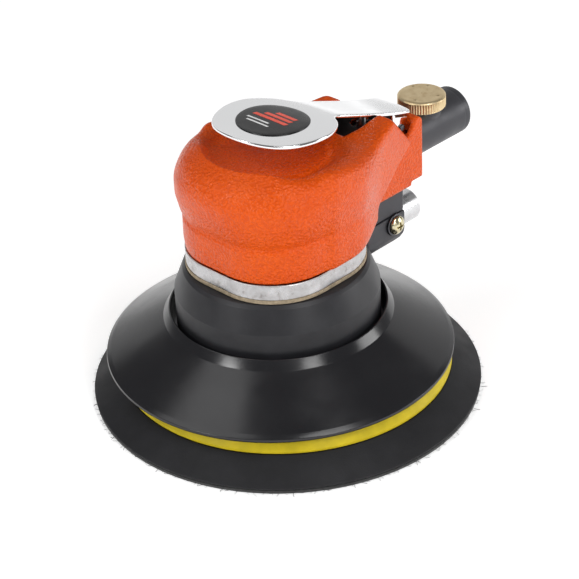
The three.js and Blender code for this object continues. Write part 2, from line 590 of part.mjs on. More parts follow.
function buildRegulator() {
  const topFlat = INLET_Z + HEX_FLATS / 2;
  const ribs = 36;
  const knurl = around(ribs * 2, 1, 0, (x, y) => [x, y])
    .map(([x, y], i) => (i % 2 ? [x * (KNOB_R - 0.45), y * (KNOB_R - 0.45)]
      : [x * KNOB_R, y * KNOB_R]));
  const rim = pushedZ(outline(knurl.map(([x, y]) => [x, y + KNOB_Y])), topFlat + GAP,
    topFlat + 5.4);
  const crown = turned([
    [0, topFlat], [KNOB_R + 0.5, topFlat], [KNOB_R + 0.5, topFlat + 4.6],
    [KNOB_R - 0.9, topFlat + 5.5], [0, topFlat + 5.5],
  ], MEDIUM, 0, KNOB_Y);
  const socket = disc(2.3, 80, topFlat + 3.8, SMALL, 0, KNOB_Y);
  place('regulator_knob', rim.intersect(crown).subtract(socket), BRASS);
  const spool = turned([
    [0, 69.7], [SPOOL_R, 69.7], [SPOOL_R, 80.9], [2.3, 80.9], [2.3, 82.5], [SPOOL_R, 82.5],
    [SPOOL_R, topFlat - 0.2], [2, topFlat - 0.2], [2, topFlat + 3.5], [0, topFlat + 3.5],
  ], SMALL, 0, KNOB_Y);
  place('regulator_spool', spool.subtract(rodY(2.4, 78, 90, INLET_Z, SMALL)), STEEL);
  place('regulator_oring', ring(2.6, 3.5, 81.1, 82.3, SMALL, 0, KNOB_Y), BLACK_RUBBER);
}

// ---- exhaust ------------------------------------------------------------------------------
function buildExhaust() {
  const port = disc(4.5, 40, 62, SMALL, 0, DUCT_PORT_Y);
  const upperTrim = pushedX(roundedBox(36.4, 61, DUCT_SPLIT + 0.15, COLUMN_BOTTOM - GAP,
    [0, 0, 0.8, 0]), -DUCT_HALF, DUCT_HALF, 4);
  place('exhaust_duct_upper', upperTrim.subtract(port), BLACK_PLASTIC);

  const section = roundedBox(-DUCT_HALF, DUCT_HALF, 35.6, DUCT_SPLIT - 0.15, [8, 8, 0, 0]);
  const side = roundedBox(39.6, 61.8, 35.6, DUCT_SPLIT - 0.15, [0, 6, 0, 0]);
  const bore = turnedAlongY([[0, 42.6], [5, 42.6], [5, 49.7], [TUBE_R + GAP, 49.7],
    [TUBE_R + GAP, 70], [0, 70]], TUBE_Z, SMALL);
  const screwHole = rodX(1.8, 0, 15, SCREW_Y, SCREW_Z, TINY);
  const lower = pushedY(section, 39.6, 61.8, 6).intersect(pushedX(side, -12, 12, 6))
    .subtract(pieces([bore, port, screwHole]));
  place('exhaust_duct_lower', lower, BLACK_PLASTIC);
  place('exhaust_tube', pipeY(TUBE_R - 0.8, TUBE_R, 50, TUBE_END, TUBE_Z, MEDIUM), ALUMINIUM);
  place('silencer_felt', pipeY(3.4, 5.4, 51, 62, TUBE_Z, SMALL), FELT);
  place('duct_screw', turnedAlongX([
    [0, 6.9], [1.5, 6.9], [1.5, DUCT_HALF + 1.2], [SCREW_HEAD_R, DUCT_HALF + 1.2],
    [SCREW_HEAD_R - 0.2, DUCT_HALF + 2.6], [2.2, DUCT_HALF + 3.3], [0, DUCT_HALF + 3.4],
  ], SCREW_Y, SCREW_Z, SMALL).subtract(pieces([
    block(DUCT_HALF + 2, DUCT_HALF + 5, SCREW_Y - 0.4, SCREW_Y + 0.4, SCREW_Z - 2, SCREW_Z + 2),
    block(DUCT_HALF + 2, DUCT_HALF + 5, SCREW_Y - 2, SCREW_Y + 2, SCREW_Z - 0.4, SCREW_Z + 0.4),
  ])), ZINC);
  place('duct_washer', turnedAlongX([
    [1.8, DUCT_HALF + 0.15], [WASHER_R, DUCT_HALF + 0.15], [WASHER_R, DUCT_HALF + 0.95],
    [1.8, DUCT_HALF + 0.95], [1.8, DUCT_HALF + 0.15],
  ], SCREW_Y, SCREW_Z, SMALL), STEEL);
}

buildPad();
buildSpindle();
buildShaft();
buildRotor();
buildMotor();
buildHousing();
buildCollar();
buildGrip();
buildThrottle();
buildValve();
buildInlet();
buildRegulator();
buildExhaust();

export default sander;
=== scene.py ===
"""Looks of the palm orbital sander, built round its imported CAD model.

Lengths are in millimetres in the CAD frame (+Z up, +Y back to the air inlet) until mesh_piece turns
them into metres. A capital name is a size of the tool, and its last letters say which: R a radius,
HALF half a width, Y or Z a place along that axis, T a thickness."""

import json
import math
import random

import bpy
import numpy as np
from mathutils import Matrix, Vector


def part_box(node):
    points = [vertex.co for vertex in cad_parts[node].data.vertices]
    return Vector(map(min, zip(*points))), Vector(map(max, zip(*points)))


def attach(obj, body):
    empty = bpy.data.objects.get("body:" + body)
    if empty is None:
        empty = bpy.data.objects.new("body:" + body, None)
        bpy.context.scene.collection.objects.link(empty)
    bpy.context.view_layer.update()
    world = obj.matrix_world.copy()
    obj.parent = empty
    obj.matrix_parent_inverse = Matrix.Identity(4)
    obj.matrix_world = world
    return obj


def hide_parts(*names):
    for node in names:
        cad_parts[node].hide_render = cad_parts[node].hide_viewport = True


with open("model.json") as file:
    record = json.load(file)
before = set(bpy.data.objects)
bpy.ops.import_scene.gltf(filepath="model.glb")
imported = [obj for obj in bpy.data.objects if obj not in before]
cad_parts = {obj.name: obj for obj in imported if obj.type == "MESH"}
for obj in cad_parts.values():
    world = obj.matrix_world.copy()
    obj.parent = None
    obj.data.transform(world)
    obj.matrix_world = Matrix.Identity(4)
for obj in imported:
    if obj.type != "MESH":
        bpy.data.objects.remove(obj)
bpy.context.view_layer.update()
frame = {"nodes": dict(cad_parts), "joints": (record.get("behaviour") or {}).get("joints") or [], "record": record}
MM = 0.001
HOUSING, LEVER, PAD, REGULATOR = "housing", "lever", "pad", "regulator"


# ---- sizes read from the frame ------------------------------------------------------------------
def extent(node):
    low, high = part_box(node)
    return np.array(low) / MM, np.array(high) / MM


def joint_origin(name):
    joint = next(j for j in frame["joints"] if j["name"] == name)
    return np.array(joint["pos_m"]) / MM


hook_low, hook_high = extent("hook_face")
cushion_low, cushion_high = extent("pad_cushion")
backing_low, backing_high = extent("pad_backing")
shroud_low, shroud_high = extent("dust_shroud")
collar_low, collar_high = extent("collar")
gasket_low, gasket_high = extent("housing_gasket")
housing_low = extent("motor_housing")[0]
grip_low, grip_high = extent("grip")
lever_high = extent("throttle_lever")[1]
badge_low, badge_high = extent("lever_badge")
knob_low, knob_high = extent("regulator_knob")
inlet_low, inlet_high = extent("inlet_body")
upper_low, upper_high = extent("exhaust_duct_upper")
lower_low, lower_high = extent("exhaust_duct_lower")
tube_low, tube_high = extent("exhaust_tube")
screw_low, screw_high = extent("duct_screw")
washer_low, washer_high = extent("duct_washer")

PAD_X, PAD_Y = joint_origin("pad_spin")[:2]
PAD_R = (cushion_high[0] - cushion_low[0]) / 2
SHROUD_R = shroud_high[0]
COLLAR_R = collar_high[0]
FLANGE_HALF = -housing_low[0]
FLANGE_CORNER = 24.5
PIVOT_Y, PIVOT_Z = joint_origin("lever_press")[1:]
PIN_Y = (extent("throttle_pin")[0][1] + extent("throttle_pin")[1][1]) / 2
KNOB_Y = joint_origin("regulator_turn")[1]
KNOB_R = (knob_high[0] - knob_low[0]) / 2
INLET_Z = (inlet_low[2] + inlet_high[2]) / 2
TUBE_Z = (tube_low[2] + tube_high[2]) / 2
TUBE_R = tube_high[0]
PORT_Y = 45
SCREW_Y = (screw_low[1] + screw_high[1]) / 2
SCREW_Z = (screw_low[2] + screw_high[2]) / 2


# ---- meshes -------------------------------------------------------------------------------------
def mesh_piece(name, points, faces, body, slot, material, replaced=(), crease=40):
    """A closed mesh, given in millimetres, that rides on a body and is smooth except at its creases."""
    mesh = bpy.data.meshes.new(name)
    mesh.from_pydata([tuple(p) for p in np.asarray(points, float) * MM], [], faces)
    mesh.validate()
    mesh.materials.append(material)
    mesh.shade_smooth()
    mesh.set_sharp_from_angle(angle=math.radians(crease))
    piece = bpy.data.objects.new(name, mesh)
    bpy.context.scene.collection.objects.link(piece)
    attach(piece, body)
    if replaced:
        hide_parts(*replaced)
    return piece


def joined(*shells):
    """Several (points, faces) shells as one."""
    points, faces = [], []
    for shell_points, shell_faces in shells:
        faces += [tuple(i + len(points) for i in face) for face in shell_faces]
        points += [tuple(p) for p in shell_points]
    return points, faces


def filleted(corners, closed=True, steps=5):
    """A path through corners (a, b), where a corner (a, b, radius) is rounded."""
    path = []
    count = len(corners)
    for i, corner in enumerate(corners):
        here = np.array(corner[:2], float)
        if len(corner) < 3 or (not closed and i in (0, count - 1)):
            path.append(here)
            continue
        back = np.array(corners[i - 1][:2]) - here
        ahead = np.array(corners[(i + 1) % count][:2]) - here
        room = 0.49 * min(np.linalg.norm(back), np.linalg.norm(ahead))
        back, ahead = back / np.linalg.norm(back), ahead / np.linalg.norm(ahead)
        half = math.acos(np.clip(back @ ahead, -1, 1)) / 2
        reach = min(corner[2] / math.tan(half), room)
        radius = reach * math.tan(half)
        centre = here + (back + ahead) / np.linalg.norm(back + ahead) * radius / math.sin(half)
        start, end = here + back * reach - centre, here + ahead * reach - centre
        turn = math.pi - 2 * half
        for t in np.linspace(0, 1, steps + 1):
            mix = math.sin((1 - t) * turn) * start + math.sin(t * turn) * end
            path.append(centre + mix / math.sin(turn))
    return np.array(path)


def turned(profile, segments=160, centre=(0, 0), ripple=None):
    """A closed [radius, height] profile turned about a vertical axis. ripple(angle, radius, height)
    returns a changed radius and height."""
    points, faces = [], []
    rows = len(profile)
    for i in range(segments):
        angle = 2 * math.pi * i / segments
        for radius, height in profile:
            if ripple:
                radius, height = ripple(angle, radius, height)
            x, y = radius * math.cos(angle), radius * math.sin(angle)
            points.append((centre[0] + x, centre[1] + y, height))
    for i in range(segments):
        for j in range(rows):
            a, b = i * rows + j, i * rows + (j + 1) % rows
            c, d = (i + 1) % segments * rows + (j + 1) % rows, (i + 1) % segments * rows + j
            faces.append((a, d, c, b))
    return points, faces


def along_y(shell, height, x=0.0):
    """A shell turned about Z laid along +Y, its axis at (x, height)."""
    points, faces = shell
    return [(p[0] + x, p[2], height - p[1]) for p in points], faces


def along_x(shell, y, z):
    """The same along +X, at (y, z)."""
    points, faces = shell
    return [(p[2], p[0] + y, p[1] + z) for p in points], faces


def lying(a, b, level):
    """Where a slab's outline is a plan in X and Y."""
    return a, b, level


def standing(a, b, level):
    """Where a slab's outline is a side view in Y and Z."""
    return level, a, b


def slab(outline, low, high, radius, place, steps=3):
    """A flat plate with rounded edges: a counter-clockwise outline between two levels.
    place(a, b, level) gives the point."""
    outline = np.asarray(outline, float)
    ahead = np.roll(outline, -1, 0) - np.roll(outline, 1, 0)
    normal = np.stack([-ahead[:, 1], ahead[:, 0]], 1)
    normal /= np.linalg.norm(normal, axis=1)[:, None]
    levels = []
    for t in np.linspace(0, math.pi / 2, steps + 1):
        levels.append((radius * (1 - math.sin(t)), low + radius * (1 - math.cos(t))))
    levels += [(inset, high - (level - low)) for inset, level in reversed(levels)]
    points = [place(*(p + n * inset), level) for inset, level in levels for p, n in zip(outline, normal)]
    count = len(outline)
    faces = []
    for row in range(len(levels) - 1):
        for i in range(count):
            j = (i + 1) % count
            faces.append((row * count + i, row * count + j, (row + 1) * count + j, (row + 1) * count + i))
    faces.append(tuple(range(count - 1, -1, -1)))
    faces.append(tuple((len(levels) - 1) * count + i for i in range(count)))
    return points, faces


# ---- solids from distance fields ----------------------------------------------------------------
def smoothstep(value, low, high):
    t = np.clip((value - low) / (high - low), 0, 1)
    return t * t * (3 - 2 * t)


def blend_min(a, b, width):
    h = np.clip(0.5 + 0.5 * (b - a) / width, 0, 1)
    return b + (a - b) * h - width * h * (1 - h)


def blend_max(a, b, width):
    return -blend_min(-a, -b, width)


def inside_outline(outline, a, b):
    """Signed distance from (a, b) to a closed outline, negative inside it."""
    outline = np.asarray(outline, float)
    nearest = np.full(np.broadcast(a, b).shape, 1e9)
    inside = np.zeros(nearest.shape, bool)
    for start, end in zip(outline, np.roll(outline, -1, 0)):
        along = end - start
        from_a, from_b = a - start[0], b - start[1]
        t = np.clip((from_a * along[0] + from_b * along[1]) / (along @ along), 0, 1)
        nearest = np.minimum(nearest, (from_a - t * along[0]) ** 2 + (from_b - t * along[1]) ** 2)
        if start[1] != end[1]:
            crosses = (start[1] > b) != (end[1] > b)
            inside ^= crosses & (from_a < along[0] * from_b / along[1])
    return np.where(inside, -1, 1) * np.sqrt(nearest)


def capsule(x, y, z, centre, axis, radius, low, high):
    """Signed distance to a cylinder along one axis."""
    point = [x - centre[0], y - centre[1], z - centre[2]]
    around = [point[i] for i in range(3) if i != axis]
    along = point[axis] + centre[axis]
    return np.maximum(np.hypot(*around) - radius, np.maximum(low - along, along - high))


def surface_net(field, low, high, step):
    """The zero surface of a distance field as a closed quad mesh, its points drawn onto the surface."""
    low, high = np.array(low, float), np.array(high, float)
    counts = np.ceil((high - low) / step).astype(int) + 1
    grid = [low[i] + step * np.arange(counts[i]) for i in range(3)]
    value = field(grid[0][:, None, None], grid[1][None, :, None], grid[2][None, None, :])
    value = np.broadcast_to(value, tuple(counts))
    cells = counts - 1
    total, hits = np.zeros((*cells, 3)), np.zeros(cells)
    crossings = []
    for axis in range(3):
        first = np.take(value, range(counts[axis] - 1), axis)
        second = np.take(value, range(1, counts[axis]), axis)
        crossing = (first < 0) != (second < 0)
        share = np.where(crossing, first / np.where(first == second, 1, first - second), 0)
        others = [i for i in range(3) if i != axis]
        crossings.append((crossing, first < 0, others))
        for side in (0, 1):
            for other in (0, 1):
                window = [slice(None)] * 3
                window[others[0]] = slice(side, side + cells[others[0]])
                window[others[1]] = slice(other, other + cells[others[1]])
                here = crossing[tuple(window)]
                hits += here
                total[..., axis] += share[tuple(window)]
                total[..., others[0]] += here * side
                total[..., others[1]] += here * other
    mixed = hits > 0
    number = np.full(cells, -1)
    number[mixed] = np.arange(mixed.sum())
    points = low + step * (np.argwhere(mixed) + total[mixed] / hits[mixed][:, None])
    faces = []
    for axis, (crossing, first_inside, others) in enumerate(crossings):
        edges = np.argwhere(crossing)
        keep = np.ones(len(edges), bool)
        for other in others:
            keep &= (edges[:, other] > 0) & (edges[:, other] < counts[other] - 1)
        edges = edges[keep]
        corners = []
        for side, other in ((1, 1), (0, 1), (0, 0), (1, 0)):
            cell = edges.copy()
            cell[:, others[0]] -= side
            cell[:, others[1]] -= other
            corners.append(number[tuple(cell.T)])
        quads = np.stack(corners, 1)
        flip = ~first_inside[tuple(edges.T)]
        if axis == 1:
            flip = ~flip
        quads[flip] = quads[flip][:, ::-1]
        faces.append(quads)
    for _ in range(3):
        points = drawn_to(field, points, step)
    return points, np.concatenate(faces).tolist()


def drawn_to(field, points, step):
    nudge = 0.02
    value = field(*points.T)
    slope = np.stack([(field(*(points + nudge * d).T) - field(*(points - nudge * d).T)) / (2 * nudge)
                      for d in np.eye(3)], 1)
    move = slope * (value / np.maximum((slope ** 2).sum(1), 0.2))[:, None]
    length = np.linalg.norm(move, axis=1)[:, None]
    return points - move * np.minimum(1, 0.4 * step / np.maximum(length, 1e-9))


# ---- materials ----------------------------------------------------------------------------------
class Surface:
    """A Principled material and the few node patterns that the finishes share."""

    def __init__(self, name, colour, roughness, metallic=0.0, **sockets):
        self.material = bpy.data.materials.new(name)
        self.material.use_nodes = True
        self.tree = self.material.node_tree
        self.shader = self.tree.nodes["Principled BSDF"]
        self.colour, self.roughness = colour, roughness
        self.shader.inputs["Base Color"].default_value = (*colour, 1)
        self.shader.inputs["Roughness"].default_value = roughness
        self.shader.inputs["Metallic"].default_value = metallic
        for socket, value in sockets.items():
            self.shader.inputs[socket.replace("_", " ")].default_value = value
        self.place = self.node("ShaderNodeTexCoord").outputs["Object"]
        self.last_normal = None

    def node(self, kind, **settings):
        node = self.tree.nodes.new(kind)
        for name, value in settings.items():
            setattr(node, name, value)
        return node

    def link(self, source, target):
        self.tree.links.new(source, target)

    def stretched(self, scale):
        mapping = self.node("ShaderNodeMapping")
        mapping.inputs["Scale"].default_value = scale
        self.link(self.place, mapping.inputs["Vector"])
        return mapping.outputs["Vector"]

    def noise(self, size, detail=3, rough=0.55, where=None, distortion=0.0):
        """Noise whose spots are about size millimetres."""
        node = self.node("ShaderNodeTexNoise")
        node.inputs["Scale"].default_value = 1 / (size * MM)
        node.inputs["Detail"].default_value = detail
        node.inputs["Roughness"].default_value = rough
        node.inputs["Distortion"].default_value = distortion
        self.link(where or self.place, node.inputs["Vector"])
        return node.outputs["Fac"]

    def cells(self, size, feature="F1", where=None):
        node = self.node("ShaderNodeTexVoronoi", feature=feature)
        node.inputs["Scale"].default_value = 1 / (size * MM)
        self.link(where or self.place, node.inputs["Vector"])
        return node.outputs["Distance"]

    def ramp(self, value, *stops):
        """Values or colours at positions, given as (position, value or colour) pairs."""
        node = self.node("ShaderNodeValToRGB")
        elements = node.color_ramp.elements
        while len(elements) < len(stops):
            elements.new(0.5)
        for element, (position, colour) in zip(elements, stops):
            element.position = position
            element.color = (*colour, 1) if hasattr(colour, "__len__") else (colour, colour, colour, 1)
        self.link(value, node.inputs["Fac"])
        return node.outputs["Color"]

    def mix(self, factor, a, b, kind="MIX"):
        node = self.node("ShaderNodeMix", data_type="RGBA", blend_type=kind)
        for value, socket in ((factor, node.inputs["Factor"]), (a, node.inputs[6]), (b, node.inputs[7])):
            if isinstance(value, bpy.types.NodeSocket):
                self.link(value, socket)
            elif hasattr(value, "__len__"):
                socket.default_value = (*value, 1)
            else:
                socket.default_value = value
        return node.outputs[2]

    def mix_coordinates(self, amount, size):
        """The object's coordinates, pushed about by noise."""
        noise = self.node("ShaderNodeTexNoise")
        noise.inputs["Scale"].default_value = 1 / (size * MM)
        self.link(self.place, noise.inputs["Vector"])
        scaled = self.node("ShaderNodeVectorMath", operation="SCALE")
        scaled.inputs["Scale"].default_value = amount * MM
        self.link(noise.outputs["Color"], scaled.inputs[0])
        added = self.node("ShaderNodeVectorMath", operation="ADD")
        self.link(self.place, added.inputs[0])
        self.link(scaled.outputs["Vector"], added.inputs[1])
        return added.outputs["Vector"]

    def bump(self, height, depth, strength=1.0):
        """Relief about depth millimetres deep, on top of any earlier one."""
        node = self.node("ShaderNodeBump")
        node.inputs["Distance"].default_value = depth * MM
        node.inputs["Strength"].default_value = strength
        self.link(height, node.inputs["Height"])
        if self.last_normal:
            self.link(self.last_normal, node.inputs["Normal"])
        self.last_normal = node.outputs["Normal"]
        self.link(self.last_normal, self.shader.inputs["Normal"])

    def set(self, socket, source):
        self.link(source, self.shader.inputs[socket])

    def worn(self, size, spread, tint=0.12):
        """Slow drift of roughness and tone, at size millimetres."""
        drift = self.noise(size, 4)
        low, high = max(0.02, self.roughness - spread), min(1, self.roughness + spread)
        self.set("Roughness", self.ramp(drift, (0.3, low), (0.7, high)))
        dark = tuple(c * (1 - tint) for c in self.colour)
        light = tuple(min(1, c * (1 + tint)) for c in self.colour)
        self.set("Base Color", self.ramp(self.noise(size * 0.7, 3), (0.3, dark), (0.7, light)))


def leather_orange():
    s = Surface("orange_rubber", (0.80, 0.10, 0.004), 0.28, Specular_IOR_Level=0.42,
                Specular_Tint=(1, 0.72, 0.55, 1))
    warped = s.mix_coordinates(0.9, 1.4)
    pebble = s.ramp(s.cells(0.85, "SMOOTH_F1", warped), (0.12, 1.0), (0.62, 0.0))
    s.bump(pebble, 0.26, 1.0)
    s.bump(s.noise(0.4, 2), 0.05, 0.6)
    drift = s.noise(22, 3)
    base = s.ramp(drift, (0.3, (0.76, 0.082, 0.003)), (0.7, (0.83, 0.105, 0.004)))
    s.set("Base Color", s.mix(s.ramp(pebble, (0.0, 0.35), (0.6, 0.0)), base, (0.50, 0.036, 0.001)))
    s.set("Roughness", s.ramp(s.noise(9, 3), (0.3, 0.25), (0.7, 0.35)))
    return s.material


def chrome():
    s = Surface("chrome", (0.90, 0.905, 0.915), 0.1, 1.0)
    s.set("Roughness", s.ramp(s.noise(7, 5), (0.35, 0.09), (0.75, 0.16)))
    s.bump(s.noise(14, 2), 0.06, 0.25)
    scuffs = s.noise(0.5, 3, where=s.stretched((1, 0.06, 1)))
    s.bump(scuffs, 0.004, 0.25)
    return s.material


def cast_aluminium():
    s = Surface("aluminium", (0.72, 0.71, 0.70), 0.3, 1.0)
    s.worn(5, 0.12, 0.08)
    s.bump(s.noise(0.5, 3, where=s.stretched((1, 1, 0.12))), 0.01, 0.5)
    s.bump(s.noise(2.2, 4), 0.04, 0.5)
    stains = s.noise(3.2, 5, 0.65)
    s.set("Base Color", s.ramp(stains, (0.28, (0.28, 0.26, 0.25)), (0.42, (0.47, 0.46, 0.46)),
                               (0.7, (0.58, 0.58, 0.59))))
    return s.material


def brass():
    s = Surface("brass", (0.63, 0.47, 0.24), 0.42, 1.0)
    s.worn(3, 0.1, 0.12)
    s.bump(s.cells(0.7, "F1"), 0.03, 0.3)
    s.bump(s.noise(0.4, 4), 0.02, 0.6)
    stains = s.noise(2.4, 4, 0.6)
    s.set("Base Color", s.ramp(stains, (0.22, (0.62, 0.45, 0.24)), (0.42, (0.74, 0.58, 0.34)),
                               (0.8, (0.82, 0.67, 0.42))))
    return s.material


def plain(name, colour, roughness, wear, *grains, metallic=0.0, **sockets):
    """A finish with slow wear (size, spread, tint) and grains (size, detail, depth, strength and, for
    fine parallel lines, how far it is stretched along each axis). A grain without detail has cells."""
    s = Surface(name, colour, roughness, metallic, **sockets)
    s.worn(*wear)
    for size, detail, depth, strength, *stretch in grains:
        where = s.stretched(*stretch) if stretch else None
        s.bump(s.noise(size, detail, where=where) if detail else s.cells(size), depth, strength)
    return s


def plain_steel(name="steel", colour=(0.5, 0.51, 0.52), roughness=0.3):
    return plain(name, colour, roughness, (4, 0.1, 0.12), (0.3, 3, 0.01, 0.5), metallic=1.0).material


def ink(name, colour):
    return plain(name, colour, 0.3, (4, 0.08, 0.1), (0.6, 2, 0.004, 0.4)).material


def fabric(name, colour, size):
    grains = (size, None, size * 0.3, 0.8), (size * 0.5, 3, size * 0.2, 0.8)
    return plain(name, colour, 0.95, (3, 0.04, 0.25), *grains, Sheen_Weight=0.3).material


def gloss_black():
    s = Surface("black_rubber", (0.012, 0.012, 0.014), 0.2, Specular_IOR_Level=0.5)
    s.set("Roughness", s.ramp(s.noise(16, 4), (0.3, 0.15), (0.7, 0.27)))
    s.bump(s.noise(30, 2), 0.25, 0.3)
    s.bump(s.noise(0.8, 3), 0.01, 0.4)
    specks = s.ramp(s.noise(0.55, 2, 0.7), (0.70, 0.0), (0.78, 1.0))
    s.set("Base Color", s.mix(specks, (0.012, 0.012, 0.014), (0.05, 0.05, 0.055)))
    return s.material


def charcoal():
    s = plain("charcoal", (0.045, 0.045, 0.052), 0.42, (8, 0.07, 0.15), (0.3, 3, 0.015, 0.6), metallic=0.25,
              Specular_IOR_Level=0.5)
    chips = s.ramp(s.noise(1.3, 4, 0.7), (0.72, 0.0), (0.76, 1.0))
    s.set("Base Color", s.mix(chips, (0.045, 0.045, 0.052), (0.12, 0.12, 0.13)))
    return s.material


def badge_black():
    s = Surface("badge", (0.01, 0.01, 0.011), 0.3, Specular_IOR_Level=0.35)
    s.set("Roughness", s.ramp(s.noise(5, 4), (0.3, 0.24), (0.7, 0.36)))
    s.bump(s.noise(5, 2), 0.02, 0.3)
    return s.material


LOOKS = {
    "hook": fabric("hook", (0.03, 0.03, 0.03), 0.7),
    "foam": plain("foam", (0.011, 0.011, 0.013), 0.55, (14, 0.08, 0.2), (0.6, None, 0.05, 0.55),
                  (0.25, 2, 0.02, 0.6), Specular_IOR_Level=0.3).material,
    "olive_urethane": plain("olive_urethane", (0.62, 0.48, 0.010), 0.5, (10, 0.08, 0.12), (0.6, 3, 0.03, 0.5),
                            Specular_Tint=(1, 0.9, 0.5, 1)).material,
    "steel": plain_steel(),
    "dark_steel": plain_steel("dark_steel", (0.10, 0.10, 0.11), 0.35),
    "vane_composite": plain("vane_composite", (0.15, 0.07, 0.03), 0.6, (2, 0.1, 0.2),
                            (0.4, 3, 0.02, 0.6, (1, 1, 0.15))).material,
    "aluminium": cast_aluminium(),
    "chrome": chrome(),
    "badge": badge_black(),
    "brass": brass(),
    "zinc": plain_steel("zinc", (0.66, 0.60, 0.40), 0.22),
    "orange_rubber": leather_orange(),
    "black_plastic": plain("black_plastic", (0.02, 0.02, 0.023), 0.42, (12, 0.06, 0.15), (0.35, 3, 0.015, 0.6),
                           (0.5, None, 0.01, 0.4), Specular_IOR_Level=0.38).material,
    "black_rubber": gloss_black(),
    "seal_rubber": plain("seal_rubber", (0.02, 0.02, 0.02), 0.55, (3, 0.08, 0.2),
                         (0.3, 2, 0.01, 0.5)).material,
    "charcoal": charcoal(),
    "paper": plain("paper", (0.34, 0.27, 0.18), 0.8, (2, 0.1, 0.3), (0.3, 4, 0.05, 0.8)).material,
    "felt": fabric("felt", (0.2, 0.18, 0.15), 0.9),
}


# ---- CAD nodes that stay ------------------------------------------------------------------------
def smoothing_group():
    """Geometry nodes that weld a faceted solid and smooth it across its shallow edges."""
    group = bpy.data.node_groups.new("smooth_facets", "GeometryNodeTree")
    group.interface.new_socket("Geometry", in_out="INPUT", socket_type="NodeSocketGeometry")
    group.interface.new_socket("Geometry", in_out="OUTPUT", socket_type="NodeSocketGeometry")
    kinds = ("NodeGroupInput", "GeometryNodeMergeByDistance", "GeometryNodeSetShadeSmooth",
             "GeometryNodeSetShadeSmooth", "NodeGroupOutput")
    source, weld, faces, edges, result = (group.nodes.new(kind) for kind in kinds)
    weld.inputs["Distance"].default_value = 1e-6
    edges.domain = "EDGE"
    angle = group.nodes.new("GeometryNodeInputMeshEdgeAngle")
    shallow = group.nodes.new("FunctionNodeCompare")
    shallow.operation = "LESS_THAN"
    shallow.inputs["B"].default_value = math.radians(45)
    group.links.new(angle.outputs["Unsigned Angle"], shallow.inputs["A"])
    group.links.new(shallow.outputs["Result"], edges.inputs["Shade Smooth"])
    for before, after in ((source, weld), (weld, faces), (faces, edges), (edges, result)):
        group.links.new(before.outputs[0], after.inputs[0])
    return group


def finish_cad_nodes():
    slots = {part["node"]: part["material_slot"] for part in frame["record"]["subparts"]}
    group = smoothing_group()
    for name, node in frame["nodes"].items():
        look = LOOKS[slots[name]]
        for material_slot in node.material_slots:
            material_slot.material = look
        if not node.material_slots:
            node.data.materials.append(look)
        smoothing = node.modifiers.new("smooth_facets", "NODES")
        smoothing.node_group = group


# ---- grip ---------------------------------------------------------------------------------------
# PALM, DISH and CORE are outlines in radius and height. CHEEK_SIDE, COLUMN_SIDE, CHANNEL and SADDLE are
# side views in Y and Z, and CHEEK_PLAN is half of a plan in X and Y.
WAIST_Z = 75.4
PALM = filleted([
    (-60, grip_low[2] + 0.6), (33.4, grip_low[2] + 0.6, 0.7), (33.9, 66, 4), (33.8, 74.2, 0.8),
    (33.1, WAIST_Z, 0.4), (34.6, 78.6, 5), (35.9, 84.5, 9), (35.9, 91, 10), (32.6, 98.0, 14),
    (25.6, 102.5, 2.0), (-60, 102.5),
], steps=6)
DISH = filleted([(-60, 97.5), (22.6, 97.5, 2.5), (24.9, 101.4, 2), (26.4, 112), (-60, 112)])
CHEEK_END = 61.9
CHEEK_SIDE = filleted([
    (0, 64), (31, 64), (32, 68.4, 1), (CHEEK_END, 80.7, 0.5), (CHEEK_END, 82.2, 0.5), (47.5, 97.9, 2.5),
    (42, 97.6, 3), (28, 96), (14, 97), (0, 98),
])
CHEEK_PLAN = filleted([
    (-60, -2), (30.5, -2), (29.8, 14, 12), (25.4, 27, 20), (21.5, 38, 20), (17.5, 50, 20),
    (14.2, CHEEK_END), (-60, CHEEK_END),
])
COLUMN_HALF = 12
COLUMN_END = grip_high[1]
COLUMN_TOP = 88.9
COLUMN_SIDE = filleted([
    (20, grip_low[2]), (64, grip_low[2], 0.5), (64, 62.6, 0.3), (COLUMN_END, 62.6, 1),
    (COLUMN_END, COLUMN_TOP, 2.4), (66, COLUMN_TOP, 0.8), (64.4, 85.4, 2), (61.5, 82.0, 2), (55, 82.0),
    (46, 92), (20, 92),
])
CHANNEL_HALF = 9.8
CHANNEL_STEP = 55.0
NECK_TOP = 82.7
CHANNEL = filleted([
    (8, 98), (27, 97.2), (33, 92.2, 2), (47, 90.6, 1), (CHANNEL_STEP, 90.2, 0.6), (CHANNEL_STEP, NECK_TOP),
    (65.9, NECK_TOP), (65.9, 120), (8, 120),
])
SADDLE = filleted([(4, 105.5), (15, 100.8, 8), (29, 98.2, 8), (44, 103), (44, 120), (4, 120)])
CORE = [(-60, 50), (27.8, 50), (27.8, 88.3), (20.3, 96.5), (-60, 96.5)]
SKIN_T = 0.9
# Where the painted shade inside the lever's channel starts, along Y.
PAINTED_SHADE_START = 31.5


def squareness(angle):
    """Radius of the flange's rounded square along a direction, against its radius on the diagonal."""
    centre = FLANGE_HALF - FLANGE_CORNER
    quarter = math.pi / 2
    folded = np.mod(angle, quarter)
    t = np.minimum(folded, quarter - folded)
    reach = centre * (np.cos(t) + np.sin(t))
    corner = reach + np.sqrt(np.maximum(reach ** 2 - 2 * centre ** 2 + FLANGE_CORNER ** 2, 0))
    radius = np.where(np.tan(t) <= centre / FLANGE_HALF, FLANGE_HALF / np.cos(t), corner)
    return radius / (centre * math.sqrt(2) + FLANGE_CORNER)


